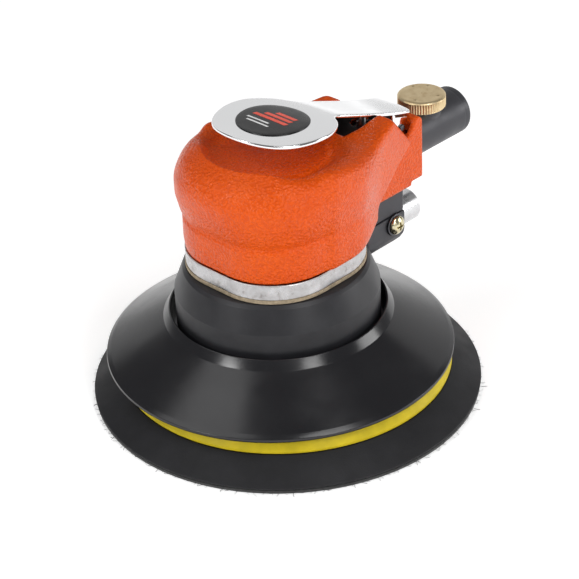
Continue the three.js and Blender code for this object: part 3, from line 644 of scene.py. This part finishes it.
def core_field(x, y, z):
    """The room that the motor housing takes inside the grip."""
    barrel = inside_outline(CORE, np.hypot(x, y), z)
    neck = np.maximum(np.maximum(abs(x) - 8.9, abs(z - 72.85) - 9.85), np.maximum(10 - y, y - 67.7))
    lug = np.maximum(np.maximum(abs(x) - 6.7, abs(y - 61.6) - 4.3), np.maximum(78 - z, z - 89.7))
    boss = capsule(x, y, z, (0, PIN_Y, 0), 2, 5.7, 78, 89.7)
    pin = capsule(x, y, z, (0, PIN_Y, 0), 2, 4.2, 80, 100)
    inlet = capsule(x, y, z, (0, 0, INLET_Z), 1, 6.2, 60, 75)
    outlet = capsule(x, y, z, (0, PORT_Y, 0), 2, 5, 50, 66)
    room = np.minimum(barrel, neck)
    for part in (lug, boss, pin, inlet, outlet):
        room = np.minimum(room, part)
    return room


def grip_field(x, y, z):
    angle = np.arctan2(y, x)
    roundness = smoothstep(z, 74, 101)
    radius = np.hypot(x, y) / (squareness(angle) * (1 - roundness) + roundness)
    palm = inside_outline(PALM, radius, z)
    side = abs(x)
    cheek = blend_max(inside_outline(CHEEK_SIDE, y, z), inside_outline(CHEEK_PLAN, side, y), 3.0)
    body = blend_min(palm, cheek, 8.0)
    column = blend_max(inside_outline(COLUMN_SIDE, y, z), side - COLUMN_HALF, 1.1)
    body = blend_min(body, column, 0.7)
    from_front = abs(np.mod(angle + math.pi / 2 + math.pi, 2 * math.pi) - math.pi)
    softness = 0.9 + 9 * smoothstep(from_front, math.radians(35), math.radians(75))
    body = blend_max(body, -inside_outline(DISH, np.hypot(x, y), z), softness)
    body = blend_max(body, -inside_outline(SADDLE, y, z), 9.0)
    channel = np.maximum(inside_outline(CHANNEL, y, z), side - CHANNEL_HALF)
    body = blend_max(body, -channel, 1.0)
    skin = inside_outline(CORE, np.hypot(x, y), z) - SKIN_T
    body = blend_min(body, np.maximum(skin, grip_low[2] + 1 - z), 1.6)
    return np.maximum(body, -core_field(x, y, z))


def build_grip():
    step = 0.7
    shell = surface_net(grip_field, grip_low - 2.03, grip_high + 2.51, step)
    look = LOOKS["orange_rubber"]
    piece = mesh_piece("grip_skin", *shell, HOUSING, "orange_rubber", look, ["grip"], crease=60)
    # Faces inside the channel under the lever get a near-black second material: painted shade standing in for the
    # shadow in that recess.
    painted_shade = plain("channel_painted_shade", (0.008, 0.006, 0.006), 0.6, (5, 0.08, 0.3), (0.6, 3, 0.04, 0.6),
                  Specular_IOR_Level=0.25)
    piece.data.materials.append(painted_shade.material)
    for face in piece.data.polygons:
        x, y, z = face.center / MM
        side_view = float(inside_outline(CHANNEL, np.array(y), np.array(z)))
        in_channel = max(side_view, abs(x) - CHANNEL_HALF) < 0.12
        face.material_index = int(in_channel and PAINTED_SHADE_START < y < CHANNEL_STEP + 0.5)


# ---- throttle lever -----------------------------------------------------------------------------
LEVER_T = 1.5
PADDLE_R = 22.8
PADDLE_Y = 2.9
NECK_HALF = 9.0
LEVER_END = lever_high[1]
SPINE = np.polyfit([-21, 3, 20, 31, 45, 57, 63, 69.2],
                   [112.8, 110, 107.2, 103.7, 98.5, 94.6, 92.7, 90.8], 5)
EAR_INNER, EAR_OUTER = 7.2, 8.6


def lever_z(x, y):
    """Top of the pressed sheet, slightly crowned across the paddle."""
    return np.polyval(SPINE, y) - 0.5 * (x / PADDLE_R) ** 2


def lever_side():
    """The lever's right-hand edge, from the middle of the paddle's front to the middle of its rear end."""
    leave = math.radians(57)
    arc = [(PADDLE_R * math.cos(a), PADDLE_Y + PADDLE_R * math.sin(a))
           for a in np.linspace(-math.pi / 2, leave, 64)]
    start = np.array(arc[-1])
    end = np.array((NECK_HALF, 34.0))
    out = start + 5.5 * np.array((-math.sin(leave), math.cos(leave)))
    into = end - np.array((0, 7.0))
    waist = [(1 - t) ** 3 * start + 3 * t * (1 - t) ** 2 * out + 3 * t * t * (1 - t) * into + t ** 3 * end
             for t in np.linspace(0, 1, 15)[1:]]
    bend = LEVER_END - 3.6
    straight = [(NECK_HALF, y) for y in np.linspace(34.0, bend, 21)[1:]]
    corner = [(NECK_HALF - 3.6 * (1 - math.cos(a)), bend + 3.0 * math.sin(a))
              for a in np.linspace(0, math.pi / 2, 9)[1:]]
    x_end, y_end = corner[-1]
    rear = [(x_end * (1 - t), y_end + (LEVER_END - y_end) * math.sin(t * math.pi / 2))
            for t in np.linspace(0, 1, 7)[1:]]
    return np.array([*arc, *waist, *straight, *corner, *rear], float)


def lever_plate():
    """The pressed sheet: its rounded edge in levels, then its top and underside in rows across."""
    side = lever_side()
    half = len(side)
    outline = np.concatenate([side, (side * (-1, 1))[-2:0:-1]])
    count = len(outline)
    ahead = np.roll(outline, -1, 0) - np.roll(outline, 1, 0)
    inward = np.stack([-ahead[:, 1], ahead[:, 0]], 1)
    inward /= np.linalg.norm(inward, axis=1)[:, None]
    edge = 0.5
    turns = [math.radians(a) for a in (0, 30, 60, 90)]
    levels = [(edge * (1 - math.sin(t)), edge * (1 - math.cos(t))) for t in turns]
    levels += [(inset, LEVER_T - drop) for inset, drop in reversed(levels)]
    points = []
    for inset, drop in levels:
        ring = outline + inward * inset
        points += [(x, y, lever_z(x, y) - drop) for x, y in ring]
    faces = []
    for row in range(len(levels) - 1):
        for i in range(count):
            j = (i + 1) % count
            faces.append((row * count + j, row * count + i, (row + 1) * count + i, (row + 1) * count + j))
    columns = 22
    for base, drop, top in ((0, 0.0, True), ((len(levels) - 1) * count, LEVER_T, False)):
        rows = [[base]]
        for i in range(1, half - 1):
            right, left = base + i, base + count - i
            a, b = np.array(points[right]), np.array(points[left])
            row = [right]
            for t in np.linspace(0, 1, columns)[1:-1]:
                x, y = (a + (b - a) * t)[:2]
                row.append(len(points))
                points.append((x, y, lever_z(x, y) - drop))
            rows.append([*row, left])
        rows.append([base + half - 1])
        for first, second in zip(rows, rows[1:]):
            for k in range(columns - 1):
                pairs = ((first, k), (first, k + 1), (second, k + 1), (second, k))
                corners = [row[min(n, len(row) - 1)] for row, n in pairs]
                face = [c for n, c in enumerate(corners) if c not in corners[:n]]
                faces.append(tuple(face if not top else face[::-1]))
    return points, faces


def lever_tab(side):
    """A folded ear with the pivot hole's rim, set below the plate by a relief slot."""
    slot = 1.0

    def under(y):
        return float(lever_z(8, y)) - LEVER_T

    outline = filleted([
        (56.7, under(56.7) + 0.4), (57.2, 88.6, 1.2), (PIVOT_Y - 3.3, PIVOT_Z, 2.6),
        (PIVOT_Y - 1.6, PIVOT_Z - 3.1, 1.6), (PIVOT_Y + 1.8, PIVOT_Z - 3.1, 1.6),
        (PIVOT_Y + 3.0, PIVOT_Z + 0.4, 2), (65.2, under(65.2) - slot, 0.5),
        (58.6, under(58.6) - slot, 0.3), (58.1, under(58.1) + 0.4),
    ])
    near, far = sorted((EAR_INNER * side, EAR_OUTER * side))
    return slab(outline, near, far, 0.25, standing)


def build_lever():
    shell = joined(lever_plate(), lever_tab(1), lever_tab(-1))
    mesh_piece("lever_plate", *shell, LEVER, "chrome", LOOKS["chrome"], ["throttle_lever"], crease=50)


BADGE_T = 0.3
BADGE_DOME = 0.08


def build_pivot():
    """The lever's pivot pin, its domed ends just proud of the ears."""
    radius, end = 1.45, 9.6
    profile = filleted([(0.02, -end), (radius, -end, 0.7), (radius, end, 0.7), (0.02, end)], steps=4)
    points, faces = along_x(turned(profile, 48), PIVOT_Y, PIVOT_Z)
    mesh_piece("pivot_pin", points, faces, HOUSING, "steel", LOOKS["dark_steel"], ["lever_pivot"])


def build_badge():
    radius = (badge_high[0] - badge_low[0]) / 2
    centre_y = (badge_high[1] + badge_low[1]) / 2

    def on_lever(x, y, height):
        """A point over the lever, where heights start at the plate."""
        return x, y + centre_y, float(lever_z(x, y + centre_y)) + height

    profile = filleted([(0.01, 0.02), (radius, 0.02), (radius, 0.3, 0.2), (0.01, 0.38)], steps=3)
    rows = np.linspace(0, 1, 10)
    crown = [(radius * 0.97 * (1 - t) + 0.01, BADGE_T + BADGE_DOME * (1 - (1 - t) ** 2)) for t in rows[1:]]
    profile = np.concatenate([profile[:-1], crown])
    points, faces = turned(profile, 96)
    points = [on_lever(*p) for p in points]
    mesh_piece("badge_disc", points, faces, LEVER, "badge", LOOKS["badge"], ["lever_badge"])
    ink_orange = ink("badge_orange", (0.85, 0.06, 0.02))
    ink_white = ink("badge_white", (0.8, 0.8, 0.8))

    def on_dome(x, y, level):
        """A point over the badge's domed face."""
        dome = BADGE_T + BADGE_DOME * (1 - min(1, math.hypot(x, y) / radius) ** 2)
        return on_lever(x, y, dome + level)

    def strip(x0, x1, y0, y1, lean):
        """A leaning bar laid on that face."""
        steps = 8
        outline = [(x0 + (x1 - x0) * t, y0) for t in np.linspace(0, 1, steps)]
        outline += [(x1 - (x1 - x0) * t, y1) for t in np.linspace(0, 1, steps)]
        outline = [(x + lean * y, y) for x, y in outline]
        return slab(outline, 0.0, 0.05, 0.01, on_dome, 1)

    orange = [strip(-8.6 + 2.2 * i, 7.4 - 1.1 * i, -1.4 + 2.7 * i, 0.3 + 2.7 * i, 0.35) for i in range(3)]
    mesh_piece("badge_bars", *joined(*orange), LEVER, "badge", ink_orange)
    white = [strip(-7.6, 3.0, -4.4, -3.6, 0.35), strip(-5.2, 5.4, -6.4, -5.6, 0.35)]
    mesh_piece("badge_lines", *joined(*white), LEVER, "badge", ink_white)


# ---- speed knob and air inlet -------------------------------------------------------------------
def build_knob():
    bottom, top = knob_low[2], knob_high[2]
    ribs = 58
    dents = [(0.72, math.radians(a)) for a in (20, 110, 160, 290)]

    def ripple(angle, radius, height):
        above_foot = np.clip((height - bottom - 0.3) / 0.3, 0, 1)
        below_rim = np.clip((top - 0.75 - height) / 0.35, 0, 1)
        on_wall = float(above_foot * below_rim)
        if radius > KNOB_R * 0.93:
            radius -= 0.34 * on_wall * abs(math.sin(ribs * angle / 2)) ** 0.8
        if height > top - 0.7:
            for share, turn in dents:
                away = math.hypot(radius * math.cos(angle) - share * KNOB_R * math.cos(turn),
                                  radius * math.sin(angle) - share * KNOB_R * math.sin(turn))
                height -= 0.3 * math.exp(-(away / 0.55) ** 2)
        return radius, height

    profile = [
        (2.4, bottom + 3.6), (2.4, bottom), (KNOB_R - 0.5, bottom), (KNOB_R - 0.1, bottom + 0.3),
        (KNOB_R, bottom + 0.6), (KNOB_R, top - 1.1), (KNOB_R, top - 0.75), (KNOB_R - 0.25, top - 0.35),
        (KNOB_R - 0.8, top - 0.08), *((KNOB_R * t, top - 0.02 * t) for t in np.linspace(0.88, 0.02, 22)),
        (0.02, bottom + 3.6),
    ]
    shell = turned(profile, ribs * 8, (0, KNOB_Y), ripple)
    mesh_piece("knob_knurled", *shell, REGULATOR, "brass", LOOKS["brass"], ["regulator_knob"], crease=50)


NOSE_R = 9.7


def inlet_field(x, y, z):
    z = z - INLET_Z
    flats = (inlet_high[2] - inlet_low[2]) / 2
    hexagon = np.maximum(abs(z), np.maximum(abs(x * math.cos(math.pi / 6) + z / 2),
                                            abs(x * math.cos(math.pi / 6) - z / 2))) - flats
    radius = np.hypot(x, z)
    start, end = grip_high[1] + 0.3, inlet_high[1]
    body = blend_max(hexagon, np.maximum(start - y, y - (end - 3.6)), 0.4)
    body = blend_max(body, radius - NOSE_R, 0.4)
    cap = blend_max(radius - NOSE_R, np.maximum(end - 4.2 - y, y - end), 1.6)
    shoulder = blend_max(radius - 9.0, np.maximum(end - 7.0 - y, y - end + 1), 1.0)
    body = blend_min(blend_min(body, shoulder, 0.8), cap, 0.4)
    seat = blend_max(np.hypot(x, y - KNOB_Y) - 7.4, np.maximum(z - flats, 3 - z), 0.5)
    body = blend_min(body, seat, 0.6)
    spigot = np.maximum(radius - 5.5, np.maximum(63.4 - y, y - start - 1))
    body = np.minimum(body, spigot)
    bore = np.maximum(radius - np.where(y > 91.4, 7.3, np.where(y > 88.5, 5.7, 4.6)), 60 - y)
    spool = np.maximum(np.hypot(x, y - KNOB_Y) - 3.7, 69.4 - INLET_Z - z)
    return np.maximum(np.maximum(body, -bore), -spool)


def build_inlet():
    low, high = inlet_low - (1.53, 1.53, 1.53), inlet_high + (1.49, 1.49, 1.49)
    shell = surface_net(inlet_field, low, high, 0.36)
    mesh_piece("inlet_casting", *shell, HOUSING, "charcoal", LOOKS["charcoal"], ["inlet_body"], crease=24)


# ---- exhaust ------------------------------------------------------------------------------------
def duct_port(x, y, z):
    """The hole between the housing's outlet and the duct."""
    return capsule(x, y, z, (0, PORT_Y, 0), 2, 4.5, 40, 70)


def upper_duct_field(x, y, z):
    low, high = upper_low, upper_high
    side = filleted([(low[1], low[2]), (high[1], low[2]), (high[1], high[2], 0.8), (low[1], high[2])])
    body = blend_max(inside_outline(side, y, z), abs(x) - high[0], 0.7)
    return np.maximum(body, -duct_port(x, y, z))


def lower_duct_field(x, y, z):
    low, high = lower_low, lower_high
    side = filleted([(low[1], low[2]), (high[1], low[2], 6.5), (high[1], high[2], 0.4), (low[1], high[2])])
    section = filleted([(-high[0], low[2], 8), (high[0], low[2], 8), (high[0], high[2]), (-high[0], high[2])])
    body = blend_max(inside_outline(side, y, z), inside_outline(section, x, z), 0.9)
    bore = capsule(x, y, z, (0, 0, TUBE_Z), 1, TUBE_R + 0.3, 49.7, 80)
    bore = np.minimum(bore, capsule(x, y, z, (0, 0, TUBE_Z), 1, 5, 42.6, 80))
    hole = capsule(x, y, z, (0, SCREW_Y, SCREW_Z), 0, 1.8, 0, 20)
    return np.maximum(np.maximum(body, -bore), np.maximum(-duct_port(x, y, z), -hole))


def screw_field(x, y, z):
    y, z = y - SCREW_Y, z - SCREW_Z
    radius = np.hypot(y, z)
    head_start = washer_high[0] + 0.15
    crown = np.hypot(radius, x - (screw_high[0] - 5.2)) - 5.2
    head = blend_max(blend_max(crown, radius - (screw_high[2] - screw_low[2]) / 2, 0.5), head_start - x, 0.2)
    shank = np.maximum(radius - 1.5, np.maximum(screw_low[0] - x, x - head_start - 0.2))
    body = np.minimum(head, shank)
    depth = screw_high[0] - 1.9 - x
    reach = 2.0 - (screw_high[0] - x) * 0.45
    arms = [np.maximum(np.maximum(abs(a) - 0.42, abs(b) - reach), depth) for a, b in ((y, z), (z, y))]
    cross = np.minimum(*arms)
    return np.maximum(body, -cross)


def build_exhaust():
    coarse = 0.45
    for name, field, low, high, node in (
            ("duct_cover", upper_duct_field, upper_low, upper_high, "exhaust_duct_upper"),
            ("duct_elbow", lower_duct_field, lower_low, lower_high, "exhaust_duct_lower")):
        shell = surface_net(field, low - 1.03, high + 1.07, coarse)
        mesh_piece(name, *shell, HOUSING, "black_plastic", LOOKS["charcoal"], [node], crease=50)
    wall = 0.9
    tube = filleted([(TUBE_R - wall, tube_low[1]), (TUBE_R, tube_low[1]), (TUBE_R, tube_high[1], 0.35),
                     (TUBE_R - wall, tube_high[1], 0.35)], steps=3)
    look = plain("tube_aluminium", (0.68, 0.68, 0.69), 0.26, (6, 0.1, 0.08), (0.35, 3, 0.012, 0.6, (1, 0.05, 1)),
                 metallic=1.0)
    shell = along_y(turned(tube, 96), TUBE_Z)
    mesh_piece("outlet_tube", *shell, HOUSING, "aluminium", look.material, ["exhaust_tube"])
    shell = surface_net(screw_field, screw_low - 0.53, screw_high + 0.51, 0.16)
    mesh_piece("pan_screw", *shell, HOUSING, "zinc", LOOKS["zinc"], ["duct_screw"], crease=50)
    outer = (washer_high[2] - washer_low[2]) / 2
    washer = filleted([(1.8, washer_low[0]), (outer, washer_low[0], 0.15), (outer, washer_high[0], 0.3),
                       (1.8, washer_high[0], 0.2)], steps=3)
    points, faces = along_x(turned(washer, 72), SCREW_Y, SCREW_Z)
    mesh_piece("lock_washer", points, faces, HOUSING, "steel", LOOKS["dark_steel"], ["duct_washer"])


# ---- collar, shroud, flange ---------------------------------------------------------------------
def build_collar():
    bottom, top = collar_low[2], collar_high[2]
    wall = COLLAR_R - 0.6
    profile = filleted([
        (36, bottom), (COLLAR_R, bottom, 0.3), (COLLAR_R, bottom + 1.9, 0.4), (37.5, bottom + 2.6, 0.4),
        (37.5, bottom + 5.1, 0.4), (wall, bottom + 5.5, 0.4), (wall, 43.1, 1.1), (35.3, 52.1, 0.8),
        (34.2, top, 0.4), (25, top), (25, 50.4), (33.2, 50.4), (36, 43),
    ])
    look = LOOKS["black_plastic"]
    mesh_piece("collar_shell", *turned(profile, 192), HOUSING, "black_plastic", look, ["collar"], 30)


def build_shroud():
    rim_z = shroud_low[2]
    profile = filleted([
        (37.8, 26.5), (43, 26.5), (44, 28.3), (65.1, rim_z + 0.4), (66.2, rim_z, 0.3),
        (SHROUD_R, rim_z + 0.7, 0.35), (66.5, rim_z + 1.6, 0.35), (64.9, rim_z + 2.75, 0.6),
        (43.9, 31.2, 0.45), (41.5, 34.9, 0.6), (40.8, 34.5, 0.3), (40.9, 28.7), (37.8, 28.7),
    ])
    look = LOOKS["black_rubber"]
    mesh_piece("shroud_skirt", *turned(profile, 224), HOUSING, "black_rubber", look, ["dust_shroud"], 25)


def rounded_square(half, corner, steps=20):
    corners = [(a * half, b * half, corner) for a, b in ((-1, -1), (1, -1), (1, 1), (-1, 1))]
    return filleted(corners, steps=steps)


def square_ring(half, inner, low, high, edge):
    """A ring that follows the flange's rounded square."""
    outer = rounded_square(half, FLANGE_CORNER + half - FLANGE_HALF)
    inside = rounded_square(inner, FLANGE_CORNER + inner - FLANGE_HALF)
    levels = [(1.0, low), (edge / (half - inner), low), (0.0, low + edge), (0.0, high - edge),
              (edge / (half - inner), high), (1.0, high)]
    points = [(*(a + (b - a) * t), level) for t, level in levels for a, b in zip(outer, inside)]
    count, rows = len(outer), len(levels)
    faces = []
    for row in range(rows):
        after = (row + 1) % rows
        for i in range(count):
            j = (i + 1) % count
            here, ahead = row * count, after * count
            faces.append((here + i, here + j, ahead + j, ahead + i))
    return points, faces


def build_flange():
    low, high = housing_low[2], grip_low[2] + 0.3
    band = square_ring(FLANGE_HALF + 0.08, FLANGE_HALF - 3, low, high, 0.35)
    mesh_piece("flange_band", *band, HOUSING, "aluminium", LOOKS["aluminium"])
    low, high = gasket_low[2] - 0.1, gasket_high[2] + 0.15
    gasket = square_ring(FLANGE_HALF + 0.35, FLANGE_HALF - 6, low, high, 0.15)
    mesh_piece("gasket_sheet", *gasket, HOUSING, "paper", LOOKS["paper"], ["housing_gasket"])


# ---- pad ----------------------------------------------------------------------------------------
DUST_HOLES = 6
DUST_HOLE_R = 5
DUST_CIRCLE_R = 40


def drilled(piece):
    """Cuts the dust holes through a piece of the pad."""
    holes = []
    turns = np.linspace(0, 2 * math.pi, 49)[:-1]
    for i in range(DUST_HOLES):
        angle = math.pi / 6 + i * math.pi / 3
        x, y = PAD_X + DUST_CIRCLE_R * math.cos(angle), PAD_Y + DUST_CIRCLE_R * math.sin(angle)
        rim = [(x + DUST_HOLE_R * math.cos(a), y + DUST_HOLE_R * math.sin(a)) for a in turns]
        holes.append(slab(rim, -2, 24, 0.1, lying))
    points, faces = joined(*holes)
    mesh = bpy.data.meshes.new("dust_holes")
    mesh.from_pydata([tuple(p) for p in np.asarray(points) * MM], [], faces)
    cutter = bpy.data.objects.new("dust_holes", mesh)
    bpy.context.scene.collection.objects.link(cutter)
    cut = piece.modifiers.new("holes", "BOOLEAN")
    cut.operation, cut.object, cut.solver = "DIFFERENCE", cutter, "EXACT"
    graph = bpy.context.evaluated_depsgraph_get()
    cut_mesh = bpy.data.meshes.new_from_object(piece.evaluated_get(graph))
    piece.modifiers.clear()
    piece.data = cut_mesh
    cut_mesh.shade_smooth()
    cut_mesh.set_sharp_from_angle(angle=math.radians(35))
    bpy.data.objects.remove(cutter)


def build_pad():
    centre = (PAD_X, PAD_Y)
    low, high = cushion_low[2], cushion_high[2]
    bore = 0.2
    cushion = filleted([
        (bore, low), (PAD_R - 0.5, low, 0.25), (PAD_R, low + 0.8, 0.5), (64.5, high - 0.5, 0.5),
        (63.7, high, 0.4), (bore, high),
    ], steps=4)
    shell = turned(cushion, 224, centre)
    drilled(mesh_piece("cushion_ring", *shell, PAD, "foam", LOOKS["foam"], ["pad_cushion"]))
    low, high = backing_low[2], backing_high[2]
    backing = filleted([
        (bore, low), (63.4, low, 0.2), (63.5, low + 1, 0.8), (61, 14.5, 1.5), (50, high, 3), (8.3, high),
        (8.3, 16.6), (bore, 16.6),
    ], steps=4)
    shell, look = turned(backing, 192, centre), LOOKS["olive_urethane"]
    drilled(mesh_piece("backing_disc", *shell, PAD, "olive_urethane", look, ["pad_backing"]))
    low, high = hook_low[2], hook_high[2]
    sheet = filleted([
        (bore, low), (PAD_R - 0.5, low, 0.3), (PAD_R - 0.4, high, 0.3), (bore, high),
    ], steps=3)
    shell = turned(sheet, 192, centre)
    drilled(mesh_piece("hook_sheet", *shell, PAD, "hook", LOOKS["hook"], ["hook_face"]))


def fibre(dice, angle):
    """One curled nylon fibre that sticks out of the hook sheet's edge."""
    steps, sides = 6, 4
    out = np.array((math.cos(angle), math.sin(angle), 0))
    across = np.array((-math.sin(angle), math.cos(angle), 0))
    point = np.array((PAD_X, PAD_Y, dice.uniform(0.35, 1.1))) + out * (PAD_R - 0.7)
    heading = dice.uniform(-1.1, 1.1)
    lift = dice.uniform(-0.35, 0.25)
    curl = dice.uniform(-0.55, 0.55)
    length = dice.uniform(0.25, 0.62)
    thickness = dice.uniform(0.07, 0.11)
    rings = []
    for _ in range(steps):
        rings.append(point.copy())
        ahead = out * math.cos(heading) + across * math.sin(heading) + np.array((0, 0, lift))
        point = point + ahead * length
        point[2] = max(point[2], 0.15)
        heading += curl
    points = []
    for ring in rings:
        for k in range(sides):
            turn = 2 * math.pi * k / sides
            off = across * math.cos(turn) + np.array((0, 0, 1)) * math.sin(turn)
            points.append(ring + thickness * off)
    faces = []
    for row in range(0, (steps - 1) * sides, sides):
        for k in range(sides):
            after = (k + 1) % sides
            faces.append((row + k, row + after, row + sides + after, row + sides + k))
    faces += [tuple(range(sides - 1, -1, -1)), tuple((steps - 1) * sides + k for k in range(sides))]
    return points, faces


FIBRES = 230


def build_fibres():
    dice = random.Random(7)
    shells = [fibre(dice, 2 * math.pi * (i + dice.random()) / FIBRES) for i in range(FIBRES)]
    mesh_piece("hook_fibres", *joined(*shells), PAD, "hook", ink("fibre_grey", (0.03, 0.03, 0.03)))


# ---- stage --------------------------------------------------------------------------------------
def area_light(name, azimuth, elevation, distance, width, height, power, colour=(1, 1, 1)):
    """A soft panel that faces the tool. Azimuth 0 is along -Y and 90 along +X."""
    light = bpy.data.lights.new(name, "AREA")
    light.shape, light.size, light.size_y = "RECTANGLE", width, height
    light.energy, light.color = power, colour
    lamp = bpy.data.objects.new(name, light)
    bpy.context.scene.collection.objects.link(lamp)
    a, e = math.radians(azimuth), math.radians(elevation)
    away = Vector((math.sin(a) * math.cos(e), -math.cos(a) * math.cos(e), math.sin(e)))
    lamp.location = Vector((0, 0, 0.06)) + away * distance
    lamp.rotation_euler = away.to_track_quat("Z", "Y").to_euler()
    return lamp


def build_stage():
    mesh = bpy.data.meshes.new("floor")
    half = 4.0
    corners = [(a * half, b * half, -0.0002) for a, b in ((-1, -1), (1, -1), (1, 1), (-1, 1))]
    mesh.from_pydata(corners, [], [(0, 1, 2, 3)])
    floor = bpy.data.objects.new("floor", mesh)
    bpy.context.scene.collection.objects.link(floor)
    pale = Surface("pale_floor", (0.95, 0.95, 0.95), 0.7, Specular_IOR_Level=0.1, Emission_Color=(1, 1, 1, 1),
                   Emission_Strength=0.42)
    pale.bump(pale.noise(40, 2), 0.2, 0.05)
    mesh.materials.append(pale.material)
    world = bpy.data.worlds.new("studio")
    world.use_nodes = True
    world.node_tree.nodes["Background"].inputs["Color"].default_value = (1, 1, 1, 1)
    world.node_tree.nodes["Background"].inputs["Strength"].default_value = 0.15
    bpy.context.scene.world = world
    area_light("soft_left", -28, 55, 1.4, 0.9, 0.9, 4.2)
    area_light("key_left", -5, 25, 1.3, 0.26, 0.26, 4.2)
    area_light("side_right", 76, 26, 1.2, 0.3, 0.5, 3.6)
    area_light("upper_right", 84, 56, 1.3, 0.5, 0.5, 3.7)
    area_light("rim_right", 138, 13, 1.2, 0.45, 0.45, 3.6)
    back = area_light("back_panel", 220, 18, 1.6, 3.2, 1.4, 8.2)
    flagged = bpy.data.collections.new("shaded_from_back_panel")
    flagged.objects.link(bpy.data.objects["grip_skin"])
    flagged.collection_objects[0].light_linking.link_state = "EXCLUDE"
    back.light_linking.receiver_collection = flagged
    bpy.context.scene.view_settings.view_transform = "Standard"


def build_camera():
    azimuth, elevation, roll = math.radians(45.4), math.radians(31.53), math.radians(-2.77)
    back = Vector((math.sin(azimuth) * math.cos(elevation), -math.cos(azimuth) * math.cos(elevation),
                   math.sin(elevation)))
    right = Vector((math.cos(azimuth), math.sin(azimuth), 0))
    up = back.cross(right)
    turned_right = right * math.cos(roll) + up * math.sin(roll)
    turned_up = up * math.cos(roll) - right * math.sin(roll)
    camera = bpy.data.objects.new("camera", bpy.data.cameras.new("camera"))
    bpy.context.scene.collection.objects.link(camera)
    camera.data.sensor_width = 36
    camera.data.lens = 124.35
    camera.data.clip_start = 0.01
    target = Vector((3.11, 3.15, 38.9)) * MM
    columns = Matrix((turned_right, turned_up, back)).transposed()
    camera.matrix_world = Matrix.Translation(target + back * 0.75608) @ columns.to_4x4()
    bpy.context.scene.camera = camera


finish_cad_nodes()
build_camera()
build_grip()
build_lever()
build_pivot()
build_badge()
build_knob()
build_inlet()
build_exhaust()
build_collar()
build_shroud()
build_flange()
build_pad()
build_fibres()
build_stage()
